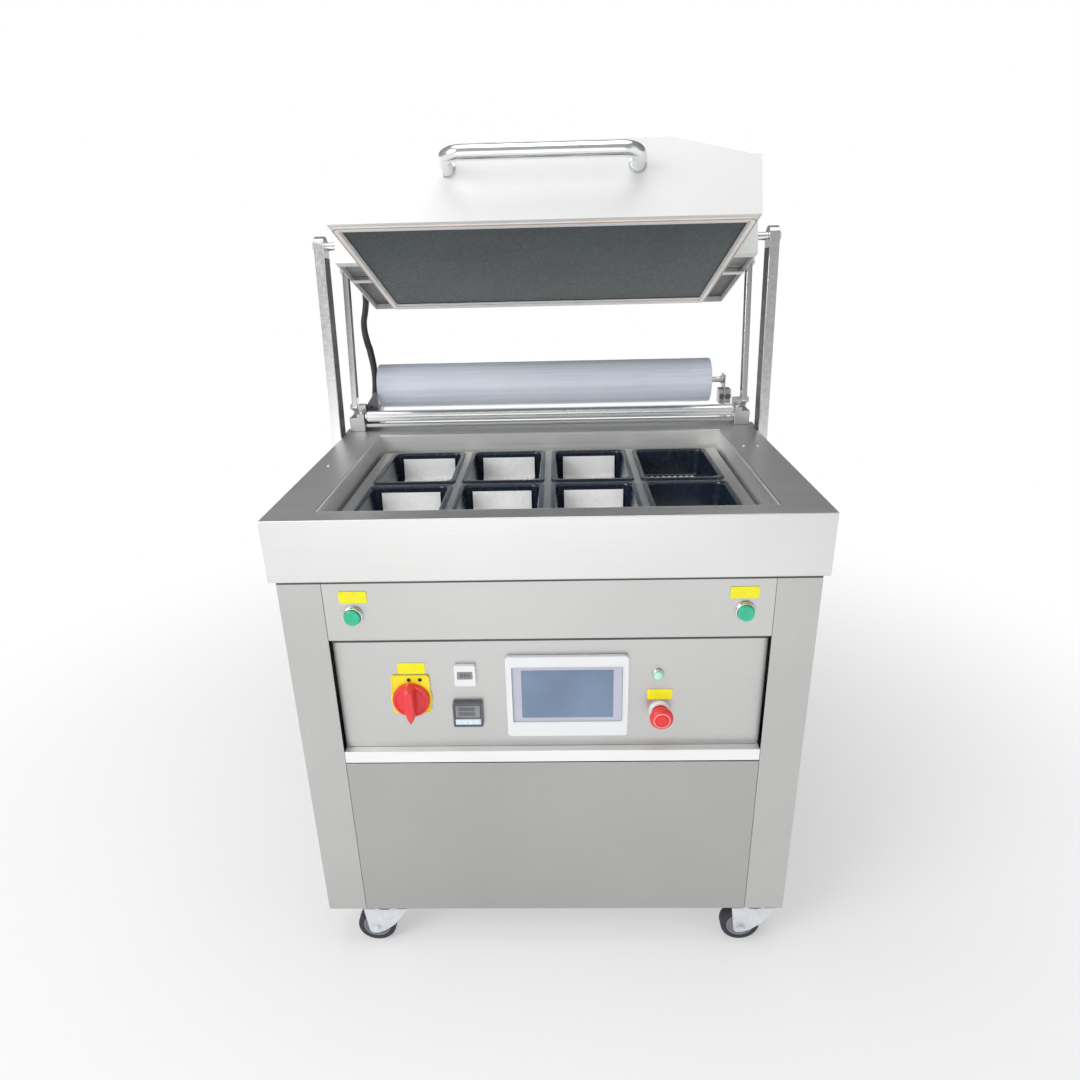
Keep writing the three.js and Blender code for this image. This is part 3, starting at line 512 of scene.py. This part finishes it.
# ---------------------------------------------------------------- conduit, the one hose of the machine
HOSE_ROUTE = [
    (-411, 720, 936.6), (-411, 720.1, 944), (-411, 725, 961), (-409.5, 730.5, 983), (-409, 732.5, 1007),
    (-412.5, 740.5, 1030), (-419, 756, 1048.5), (-426, 777, 1059), (-433.5, 800, 1062.5), (-440.5, 824, 1065),
    (-447.5, 845.5, 1072), (-454, 862.5, 1087.5), (-456, 872, 1110), (-451, 874, 1133), (-445.5, 869.5, 1156),
    (-443, 862.5, 1179), (-443, 861.5, 1196.5),
]
HOSE_RADIUS = 8.0
RIB_PITCH = 4.0
RIB_WAVE = 0.55


def add_hose():
    points, length = curve_through(HOSE_ROUTE, spacing=1.0)

    def ribbed(index):
        return HOSE_RADIUS - RIB_WAVE + RIB_WAVE * math.cos(2 * math.pi * index / RIB_PITCH)

    hose = piece("conduit_hose", along(points, ribbed, 16), "black", None, sharp=75, stands_for=("conduit",))
    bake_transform(hose)


add_hose()


# ---------------------------------------------------------------- nodes that keep their CAD shape
KEEPS_ITS_TRIANGLES = ("mould_frame", "tub", "rear_panel", "base_pan")     # flats with openings in them
HOOD_FOLD = 12                                                             # degrees


def add_cad_shapes():
    for node, look, bevel in (
        ("worktop_rim", "steel_rim", 1.1), ("tub", "steel_tub", 1.2), ("mould_frame", "steel_y", 1.5),
        ("side_shell_left", "steel_z", 0.9), ("side_shell_right", "steel_z", 0.9),
        ("rear_panel", "steel_x", 0.6), ("base_pan", "steel_x", 0.8), ("upper_fascia", "steel_x", 0.8),
        ("control_panel", "steel_x", 0.7), ("panel_ledge", "ledge", 0.8),
        ("lower_front_panel", "steel_lower", 0.9), ("lid_hood", "white", 1.0),
        ("lid_frame", "white", 1.2), ("heater_plate", "heater", 1.4), ("swing_arm_left", "bright", 1.6),
        ("swing_arm_right", "bright", 1.6), ("link_left", "bright", 1.2), ("link_right", "bright", 1.2),
        ("end_block_left", "steel_y", 1.4), ("end_block_right", "steel_y", 1.4),
        ("rear_bracket_left", "steel_z", 1.2), ("rear_bracket_right", "steel_z", 1.2),
        ("roll_cradle_left", "steel_z", 1.0), ("roll_cradle_right", "steel_z", 1.0),
        ("cross_shaft", "steel_x", 0.8), ("hmi_bezel", "pale", 1.4), ("vacuum_pump", "pump", 3.0),
        ("vacuum_meter", "pale", 1.0), ("temperature_controller", "slate", 1.0),
        ("switch_plate", "yellow", 1.2), ("hmi_screen", "lilac", 0.5), ("conduit_boot", "black", 1.4),
    ):
        refined(node, look, bevel, merge_flat=node not in KEEPS_ITS_TRIANGLES,
                sharp=HOOD_FOLD if node == "lid_hood" else 30)
    for row in ("front", "rear"):
        for side_name, _ in SIDES:
            refined(f"caster_fork_{row}_{side_name}", "zinc", 1.1)


add_cad_shapes()


# ---------------------------------------------------------------- fixings
def hexagon(size, height):
    """A hexagon bolt head with a chamfered top, on a washer; size is its corner radius."""
    seat = 1.2
    head = lathe([(0, seat), (size, seat), (size, height * 0.82), (size * 0.86, height), (0, height)], 6)
    washer = lathe([(0, 0), (size * 1.3, 0), (size * 1.35, 0.3), (size * 1.3, seat), (0, seat)], 28)
    return together((head, IN_PLACE), (washer, IN_PLACE))


def button_head(radius, height):
    """A domed screw head with a hexagon socket."""
    return lathe([
        (0, height * 0.35), (radius * 0.4, height * 0.35), (radius * 0.46, height),
        (radius * 0.74, height * 0.86), (radius * 0.94, height * 0.5), (radius, 0), (0, 0),
    ], 24)


def fixings(name, places, look, body, maker):
    """Several screws or bolts as one piece."""
    piece(name, together(*[(maker(), place) for place in places]), look, body, IN_PLACE)


def sheet_screw():
    return button_head(4.5, 2.6)


def add_fixings():
    outward = {side: Matrix.Rotation(math.radians(90 * side), 4, "Y") for _, side in SIDES}
    tops = [spot(x, y, RIM_TOP) for x, y in ((-411, 295), (384, 385), (411, 383))]
    fixings("rim_top_screws", tops, "steel_y", "root", lambda: button_head(4.2, 2.4))
    arm_face, link_face = 466, 432
    for name, side in SIDES:
        turn = outward[side]
        arm_bolts = [spot(side * arm_face, *end, turn) for end in (LID_PIVOT.yz, CROSS_SHAFT)]
        fixings(f"swing_arm_bolts_{name}", arm_bolts, "zinc", "arms", lambda: hexagon(9, 6))
        link_bolts = [spot(side * link_face, *end, turn) for end in (LINK_FOOT, LINK_HEAD.yz)]
        fixings(f"link_bolts_{name}", link_bolts, "zinc", f"link_{name}", lambda: hexagon(6.5, 5))
        block_bolt = [spot(side * 409, 569, RIM_TOP + 38)]
        fixings(f"end_block_bolt_{name}", block_bolt, "zinc", "root", lambda: hexagon(4.6, 4))
    cradle_bolts = [spot(-385, y, 928, outward[-1]) for y in (653, 667)]
    fixings("roll_cradle_bolts_left", cradle_bolts, "zinc", "root", sheet_screw)
    clamp_bolts = [spot(410, y, 955, outward[1]) for y in (652, 668)]
    fixings("roll_clamp_side_bolts", clamp_bolts, "zinc", "root", sheet_screw)
    clamp_screws = [spot(x, 646, 955, OUT_FRONT) for x in (390.5, 403.5)]
    fixings("roll_clamp_front_screws", clamp_screws, "slate", "root", lambda: hexagon(4.6, 4))
    holes = [spot(x, 575, z, OUT_BACK) for x in (-395, 0, 395) for z in (130, 480, 790)]
    fixings("rear_panel_screws", holes, "zinc", "root", sheet_screw)


add_fixings()


# ---------------------------------------------------------------- lid: handle, gasket, painted shade in the wing channels, trim
def add_handle():
    half, standoff, level, bend, steps = 163, 61, 88, 30, 8
    corner = []
    for i in range(steps + 1):
        angle = math.radians(90 * i / steps)
        inward = bend - bend * math.cos(angle)
        outward = bend - bend * math.sin(angle)
        corner.append(Vector((-half + inward, -standoff + outward, level)))
    left = [Vector((-half, -0.4, level)), Vector((-half, -10, level))] + corner
    right = [Vector((-p.x, p.y, p.z)) for p in reversed(left)]
    piece("lid_handle_tube", along(left + right, 12.5, 28), "bright", "lid", LID, stands_for=("lid_handle",))
    for name, side in SIDES:
        flange = lathe([(12.7, 0.4), (15, 0.4), (15.4, 0.9), (15, 2.2), (12.7, 2.8), (12.7, 0.4)], 40)
        place = spot(side * half, 0, level, OUT_FRONT, LID)
        piece(f"lid_handle_flange_{name}", flange, "bright", "lid", place)


def lid_ring(name, look, half_x, half_y, middle, corner, steps, sections, stands_for=()):
    """A ring on the lid's underside; sections are (inset, height) pairs and corner is a radius by inset."""
    loops = []
    for inset, height in sections:
        outline = rounded(half_x - inset, half_y - inset, corner(inset), height, steps)
        loops.append([(x, y + middle, z) for x, y, z in outline])
    piece(name, loft(loops, closed=True), look, "lid", LID, stands_for=stands_for)


def add_lid_underside():
    half_x, front, back = 370.6, 10.9, 529.1
    half_y, middle = (back - front) / 2, (front + back) / 2
    lid_ring("lid_gasket_strip", "silicone", half_x, half_y, middle, lambda inset: max(14 - inset, 4), 6,
             ((0, -0.4), (0, -3.2), (1.2, -4), (8.8, -4), (10, -3.2), (10, -0.4)), ("lid_gasket",))
    lid_ring("lid_gasket_line", "tan", half_x, half_y, middle, lambda _: 13, 6,
             ((0, -3.0), (0, -4.2), (2.4, -4.2), (2.4, -3.0)))
    # Painted shade: dark blocks fill the hollow wing channels, mid grey at the front and near black at the
    # rear.
    for name, side in SIDES:
        for part, look, start, end in (("front", "painted_half_shade", 203, 322), ("rear", "shade", 326, 537)):
            lining = pad(19.8, (end - start) / 2, 2, 70, 1)
            place = spot(side * 394.6, (start + end) / 2, 12, None, LID)
            piece(f"wing_channel_lining_{part}_{name}", lining, look, "lid", place)
    lid_ring("heater_edge_trim", "black", 357.5, 232.5, 272, lambda _: 6, 4,
             ((0, 1.9), (0, 1.2), (2.4, 1.2), (2.4, 1.9)))


add_handle()
add_lid_underside()


def side_strip(name, low, high, half, x0, x1, look, body):
    """A flat strip in the Y-Z plane between two (y, z) points."""
    start, end = Vector((0, *low)), Vector((0, *high))
    across = Vector((1, 0, 0)).cross((end - start).normalized()) * half
    outline = (start - across, start + across, end + across, end - across)
    loops = [[p + Vector((x, 0, 0)) for p in outline] for x in (x0, x1)]
    piece(name, loft(loops), look, body)


def add_channel_painted_shade():
    """Painted shade: dark strips on the inner sides of the arms and links, standing for the shade inside
    their channels.
    """
    elbow = Vector((0, *ARM_ELBOW))
    foot = Vector((0, *LINK_FOOT))
    for side_name, side in SIDES:
        for name, low, high, half, face, body in (
            ("swing_arm_painted_shade", elbow.lerp(LID_PIVOT, 0.02), elbow.lerp(LID_PIVOT, 0.95), 17, 446, "arms"),
            ("link_painted_shade", foot.lerp(LINK_HEAD, 0.07), foot.lerp(LINK_HEAD, 0.95), 7.2, 420,
             f"link_{side_name}"),
        ):
            side_strip(f"{name}_{side_name}", low.yz, high.yz, half, side * (face - 0.35),
                       side * (face - 0.02), "shade", body)


add_channel_painted_shade()


# ---------------------------------------------------------------- trays and liners
TRAY_FLANGE_TOP = 879.4
TRAY_FLOOR = 821.4
TRAY_PITCH = (168, 224)
TRAYS_MIDDLE = 276.5


def tray_centres():
    """The centre of each tray, from front left to rear right, with its column counted from the middle."""
    for row in (-0.5, 0.5):
        for column in (-1.5, -0.5, 0.5, 1.5):
            yield column * TRAY_PITCH[0], TRAYS_MIDDLE + row * TRAY_PITCH[1], column


def formed_tray(x, y):
    """A thermoformed tray: floor, sloping walls and a flange with a turned-down lip, as one closed skin."""
    top, floor = TRAY_FLANGE_TOP, TRAY_FLOOR
    rows = [
        (56, 84, 9, floor + 2), (61, 89, 12, floor + 3.2), (63.6, 91.6, 14, floor + 7.5),
        (67.8, 95.8, 16, top - 5), (68.8, 96.8, 17, top - 1.2), (70.4, 98.4, 18, top),
        (75.6, 103.6, 11, top), (77.6, 105.6, 12, top - 0.9), (78, 106, 12, top - 3),
        (71.4, 99.4, 18, top - 3), (70.6, 98.6, 18, top - 4.6), (65.6, 93.6, 15, floor + 5.5),
        (63, 91, 13, floor + 0.8), (59, 87, 11, floor),
    ]
    return loft([[(px + x, py + y, pz) for px, py, pz in rounded(a, b, r, z, 6)] for a, b, r, z in rows])


def liner(x, y, walled):
    """A ribbed absorbent sheet on the tray's floor, turned up the back wall where walled is true."""
    half, floor_rows, columns, rib_pitch, thick = 54, 20, 72, 12, 1.1
    path = [(y - 80 + 8 * i, TRAY_FLOOR + 3.6) for i in range(floor_rows)]
    if walled:
        path += [(y + 80, TRAY_FLOOR + 4.4), (y + 85, TRAY_FLOOR + 8)]
        path += [(y + 86.2 + 0.62 * i, TRAY_FLOOR + 12 + 6 * i) for i in range(7)]
    bm = bmesh.new()
    sheets = []
    for lift in (0.0, thick):
        grid = []
        for k, (py, pz) in enumerate(path):
            ribs = 2.6 if k < floor_rows else 0.3
            upward = Vector((0, 0, 1)) if k <= floor_rows else Vector((0, -1, 0.1))
            line = []
            for i in range(columns + 1):
                px = -half + 2 * half * i / columns
                wave = ribs * (0.5 + 0.5 * math.cos(2 * math.pi * px / rib_pitch))
                line.append(bm.verts.new(Vector((x + px, py, pz)) + upward * (wave + lift)))
            grid.append(line)
        sheets.append(grid)
    last = len(path) - 1
    for grid in sheets:
        for a, b in zip(grid, grid[1:]):
            for i in range(columns):
                bm.faces.new((a[i], a[i + 1], b[i + 1], b[i]))
    low, high = sheets
    for k in (0, last):
        for i in range(columns):
            bm.faces.new((low[k][i], low[k][i + 1], high[k][i + 1], high[k][i]))
    for i in (0, columns):
        for k in range(last):
            bm.faces.new((low[k][i], low[k + 1][i], high[k + 1][i], high[k][i]))
    return bm


def add_trays():
    for number, (x, y, column) in enumerate(tray_centres(), 1):
        node = f"tray_{number}"
        piece(node + "_formed", formed_tray(x, y), "tray", node, sharp=50, stands_for=(node,))
        piece(node + "_liner", liner(x, y, column < 1), "liner", node, sharp=60)


add_trays()


# ---------------------------------------------------------------- film roll and rollers
def add_film_feed():
    left, right, radius, bore, spans = -380, 360, 48, 30.5, 46
    axis = spot(0, *ROLL_AXIS, ALONG_X)
    wound = [(bore, left), (radius - 0.8, left), (radius, left + 0.8)]
    for i in range(1, spans):
        x = left + (right - left) * i / spans
        slack = 0.28 * (0.5 + 0.5 * math.sin(i * 1.7)) * (0.5 + 0.5 * math.cos(i * 0.61))
        wound.append((radius - slack, x))
    wound += [(radius, right - 0.8), (radius - 0.8, right), (bore, right), (bore, left)]
    piece("film_roll_wound", lathe(wound, 72), "film", "film", axis, 50, stands_for=("film_roll",))
    core = [(22.2, left), (30.3, left), (30.3, right), (22.2, right), (22.2, left)]
    piece("film_roll_core", lathe(core, 56), "card", "film", axis)

    spindle = [
        (0, -387), (5.4, -387), (6, -386.4), (6, -378), (21.2, -378), (21.4, -377), (21.4, -331),
        (20.4, -330), (11, -330), (11, 310), (20.4, 310), (21.4, 311), (21.4, 357), (21.2, 358), (6, 358),
        (6, 397.4), (5.4, 398), (0, 398),
    ]
    piece("roll_spindle_turned", lathe(spindle, 56), "bright", "film", axis, 30, stands_for=("roll_spindle",))
    ring = lathe([(6.1, 0), (8.4, 0), (8.8, 0.5), (8.8, 3.5), (8.4, 4), (6.1, 4), (6.1, 0)], 40)
    piece("roll_spindle_collar", ring, "zinc", "film", spot(387, *ROLL_AXIS, ALONG_X), 30)

    guide = [
        (0, -401.6), (5, -401.6), (6, -401), (6, -396), (11, -396), (12, -395),
        (12, 395), (11, 396), (6, 396), (6, 401), (5, 401.6), (0, 401.6),
    ]
    piece("guide_roller_turned", lathe(guide, 48), "roller", "guide", spot(0, 570, 942, ALONG_X), 30,
          stands_for=("guide_roller",))
    rod = [(0, -401.6), (4.4, -401.6), (5, -401), (5, 401), (4.4, 401.6), (0, 401.6)]
    piece("lower_bar_rod", lathe(rod, 32), "steel_x", "root", spot(0, 572, 921.5, ALONG_X), 30,
          stands_for=("lower_bar",))


add_film_feed()


# ---------------------------------------------------------------- conduit ends
def add_conduit_ends():
    start = Vector((-417.4, *HOSE_GLAND.yz))
    mouth = Vector((-443, 861.5, 1197.3))
    knots = (start, start + Vector((-18, 0, 0)), mouth + Vector((0, 0, 14)), mouth)
    steps, cuff = 24, 5
    points = []
    for i in range(steps + 1):
        t = i / steps
        weights = ((1 - t) ** 3, 3 * t * (1 - t) ** 2, 3 * t * t * (1 - t), t ** 3)
        points.append(sum((k * w for k, w in zip(knots, weights)), Vector()))

    def stepped(index):
        return 10 if min(index, steps - index) < cuff else 8.8 + 0.5 * (index % 2)

    piece("conduit_elbow_moulded", along(points, stepped, 28), "black", "lid", sharp=30,
          stands_for=("conduit_elbow",))
    nut = lathe([(9.5, 0.4), (13.5, 0.4), (14, 1), (14, 5), (13, 6), (9.5, 6), (9.5, 0.4)], 6)
    outward = Matrix.Rotation(math.radians(-90), 4, "Y")
    piece("conduit_gland_nut", nut, "slate", "lid", spot(-417, *HOSE_GLAND.yz, outward), 20)


add_conduit_ends()


# ---------------------------------------------------------------- painted shadow strips and painted shade on the gusset face
def add_shadow_strips_and_gusset():
    """Painted shadow: dark strips in the folds of the front sheets. Painted shade: a dark plate over the face
    of the left roll gusset.
    """
    # painted shadow lines under the apron's edge and under the fascia's edge
    for name, half, low, high, y in (
        ("apron_shadow_strip", 435, 794.8, 797.6, 20),
        ("fascia_shadow_strip", 362, 678.6, 682.2, FACE + 0.4),
    ):
        strip = pad(half, (high - low) / 2, 0.6, 0.5, 0.2)
        piece(name, strip, "shade", "root", spot(0, y, (low + high) / 2, OUT_FRONT))
    # painted shade: a dark plate over the steel gusset's front face, with a dark bolt on it
    outline = [(-418.4, 914), (-378, 914), (-378, 987), (-383.6, 987), (-418.4, 937.6)]
    piece("roll_gusset_painted_shade", prism(outline, 0.05, 0.4), "gusset_painted_shade", "root", spot(0, 602, 0, OUT_FRONT))
    bolt = [spot(-393, 601.6, 956, OUT_FRONT)]
    fixings("roll_gusset_bolt", bolt, "shade", "root", lambda: button_head(3.6, 2.2))


add_shadow_strips_and_gusset()


# ---------------------------------------------------------------- controls
def front_spot(x, z, y=FACE):
    """A piece drawn upwards from Z = 0 comes out of the machine's front from the surface at this Y."""
    return spot(x, y, z, OUT_FRONT)


def yellow_label(name, x, z, width, height, y=FACE):
    """A blank label plate."""
    piece(name, pad(width / 2, height / 2, 3, 0.7, 0.3), "label", "root", front_spot(x, z, y))


def collar(outer, inner, height):
    """A turned ring that stands round a button."""
    return lathe([
        (inner, 0), (outer, 0), (outer, height * 0.55), (outer - 1, height * 0.9), (outer - 2, height),
        (inner + 0.6, height), (inner, height - 0.8), (inner, 0),
    ], 48)


def add_main_switch():
    x, z = -238, 569
    disc = [
        (0, 0.4), (29, 0.4), (32, 0.8), (32, 6.4), (31.2, 8), (29.4, 9), (27, 9.2), (26, 8.2),
        (24.4, 8.0), (23, 9), (0, 9.4),
    ]
    outline = [
        (-8.4, 29), (-5, 32), (0, 33), (5, 32), (8.4, 29), (9.4, 12), (9.4, -6), (8.6, -18), (5, -30),
        (0, -38), (-5, -30), (-8.6, -18), (-9.4, -6), (-9.4, 12),
    ]
    grip = []
    for scale, height in ((1.12, 9), (1, 11), (0.98, 24), (0.9, 27.4), (0.7, 30)):
        grip.append([(px * scale, py * (0.5 + 0.5 * scale), height) for px, py in reversed(outline)])
    knob = together((lathe(disc, 64), Matrix.Translation((0, 0, 3))), (loft(grip), IN_PLACE))
    piece("main_switch_knob", knob, "red", "switch", front_spot(x, z), 30, stands_for=("switch_knob",))
    screws = [front_spot(x + dx, z + 38, FACE - 3) for dx in (-2, 17)]
    fixings("switch_plate_screws", screws, "black", "root", lambda: button_head(3.4, 1.6))
    yellow_label("main_switch_label", x + 3.5, z + 59, 47, 21)
    rim = loft([
        rounded(33, 37, 6, 3), rounded(31, 35, 5, 3), rounded(31, 35, 5, 3.8), rounded(33, 37, 6, 3.8),
    ], closed=True)
    piece("switch_plate_rim", rim, "yellow", "root", front_spot(x, z + 9))


def add_meter_and_controller():
    piece("meter_window", pad(12.9, 7.4, 1.8, 1.4), "window", "root", front_spot(-143, 617, FACE - 6))
    digits = [(pad(2.1, 3.4, 0.6, 0.3, 0.1), Matrix.Translation((-6 + 6 * i, 0, 0))) for i in range(3)]
    piece("meter_digit_cells", together(*digits), "slate", "root", front_spot(-143, 617, FACE - 7.4))
    x, z = -142, 538
    piece("controller_display", pad(21.5, 12, 1.4, 1.2), "window", "root", front_spot(x, z + 7, FACE - 7))
    piece("controller_key_strip", pad(22, 5.2, 1, 2.4), "keys", "root", front_spot(x, z - 13.4, FACE - 7))
    keys = [(pad(4, 3.2, 1.2, 0.8, 0.4), Matrix.Translation((-15.6 + 10.4 * i, 0, 0))) for i in range(4)]
    piece("controller_keys", together(*keys), "pale", "root", front_spot(x, z - 13.4, FACE - 9.4))
    cells = [(pad(14, 3.6, 0.8, 0.4, 0.15), Matrix.Translation((-2, 5.4 - 9.8 * i, 0))) for i in range(2)]
    piece("controller_digit_cells", together(*cells), "slate", "root", front_spot(x, z + 7, FACE - 8.2))


def add_touch_panel():
    piece("touch_display_area", pad(78, 47, 1.5, 0.6, 0.3), "screen", "root", front_spot(30, 578.5, FACE - 7))
    lip = loft([
        rounded(95.6, 56.6, 4, 8.9), rounded(94, 55, 3, 8.9),
        rounded(94, 55, 3, 9.7), rounded(95.6, 56.6, 4, 9.7),
    ], closed=True)
    piece("touch_panel_lip", lip, "pale", "root", front_spot(30, 578))


def add_stop_and_lamp():
    x, z = 189, 540
    head = [
        (0, 6), (12.4, 6), (13, 6.6), (13, 13.6), (15, 17), (18.6, 19.6), (20, 22), (20, 26.4), (19.4, 28.6),
        (17.6, 30.8), (14.6, 32.2), (11.6, 32.6), (11, 31.8), (9.6, 31.8), (9, 33.2), (5, 34), (0, 34.2),
    ]
    piece("emergency_stop_head", lathe(head, 64), "red", "estop", front_spot(x, z), 32,
          stands_for=("estop_head",))
    ring = lathe([(12.2, 31.4), (14.4, 31.4), (14.4, 32.7), (12.2, 33.0), (12.2, 31.4)], 56)
    piece("emergency_stop_ring", ring, "pink", "estop", front_spot(x, z), 40)
    piece("emergency_stop_collar", collar(19, 13.6, 7), "pale", "root", front_spot(x, z))
    yellow_label("emergency_stop_label", x - 1, z + 32, 43, 20)
    lens = [(0, 2), (8.2, 2), (8.2, 6.4), (7.4, 8.6), (5, 10), (2, 10.6), (0, 10.7)]
    piece("pilot_lamp_lens", lathe(lens, 40), "mint", "root", front_spot(184, 612), 50)
    piece("pilot_lamp_collar", collar(10.6, 8.4, 4.6), "bright", "root", front_spot(184, 612))


def add_start_buttons():
    cap = [
        (0, 5), (13.2, 5), (13.5, 5.4), (13.5, 10), (12.8, 11.6), (11.2, 12.4), (10.2, 11.9), (5, 11.6),
        (0, 11.5),
    ]
    for name, side in SIDES:
        place = front_spot(side * 317, 738, SKIN)
        piece(f"start_button_cap_{name}", lathe(cap, 56), "green", f"button_{name}", place, 30,
              stands_for=(f"button_cap_{name}",))
        piece(f"start_button_collar_{name}", collar(17.4, 14, 7), "bright", "root", place)
        yellow_label(f"start_button_label_{name}", side * 314.5, 771, 46, 21, SKIN)


add_main_switch()
add_meter_and_controller()
add_touch_panel()
add_stop_and_lamp()
add_start_buttons()


# ---------------------------------------------------------------- caster wheels
def add_casters():
    tyre = [
        (27, -11.4), (28, -12), (34.5, -12), (36.8, -10.8), (37.5, -8.5), (37.5, 8.5),
        (36.8, 10.8), (34.5, 12), (28, 12), (27, 11.4), (27, -11.4),
    ]
    hub = [
        (0, -14.6), (7.4, -14.6), (8, -14), (8.6, -11), (11, -9.4), (22, -9.4), (24.4, -11.6), (26.8, -11.6),
        (26.8, 11.6), (24.4, 11.6), (22, 9.4), (11, 9.4), (8.6, 11), (8, 14), (7.4, 14.6), (0, 14.6),
    ]
    axle_height, leg = 37.5, 18
    for row, y in (("front", 49), ("rear", 546)):
        for name, x in (("left", -353), ("right", 364)):
            tag = f"{row}_{name}"
            centre = spot(x, y, axle_height, OUT_FRONT)
            piece(f"caster_tyre_{tag}", lathe(tyre, 64), "tyre", f"wheel_{tag}", centre, 30,
                  stands_for=(f"caster_wheel_{tag}",))
            piece(f"caster_hub_{tag}", lathe(hub, 48), "hub", f"wheel_{tag}", centre, 30)
            ends = [spot(x, y - leg, axle_height, OUT_FRONT), spot(x, y + leg, axle_height, OUT_BACK)]
            fixings(f"caster_axle_{tag}", ends, "zinc", f"fork_{tag}", lambda: hexagon(7.5, 5.5))


add_casters()


# ---------------------------------------------------------------- floor and finish
def floor_material():
    """A pale floor that takes soft shadows near the machine and melts into the white behind it."""
    made = surface("studio_floor", (0.95, 0.95, 0.95), rough=0.8, grain=even(30), spread=0.05, bump=0.0,
                   depth=0.0001, mottle=1.0, shade=0.01)
    tree = made.node_tree
    link = tree.links.new
    where = tree.nodes.new("ShaderNodeTexCoord")
    reach = tree.nodes.new("ShaderNodeVectorMath")
    reach.operation = "LENGTH"
    fade = map_range(tree, reach.outputs["Value"], (0.5, 2.1), (0.35, 1.0))
    fade.interpolation_type = "SMOOTHSTEP"
    glow = tree.nodes.new("ShaderNodeEmission")
    glow.inputs["Strength"].default_value = 1.0
    mix = tree.nodes.new("ShaderNodeMixShader")
    link(where.outputs["Object"], reach.inputs[0])
    link(fade.outputs[0], mix.inputs["Fac"])
    link(tree.nodes["Principled BSDF"].outputs[0], mix.inputs[1])
    link(glow.outputs[0], mix.inputs[2])
    link(mix.outputs[0], tree.nodes["Material Output"].inputs["Surface"])
    return made


def add_floor():
    bm = bmesh.new()
    reach = 14
    corners = [(-reach, -reach, 0), (reach, -reach, 0), (reach, reach, 0), (-reach, reach, 0)]
    bm.faces.new([bm.verts.new(c) for c in corners])
    mesh = bpy.data.meshes.new("floor")
    bm.to_mesh(mesh)
    bm.free()
    floor = bpy.data.objects.new("floor", mesh)
    bpy.context.scene.collection.objects.link(floor)
    mesh.materials.append(floor_material())


add_floor()
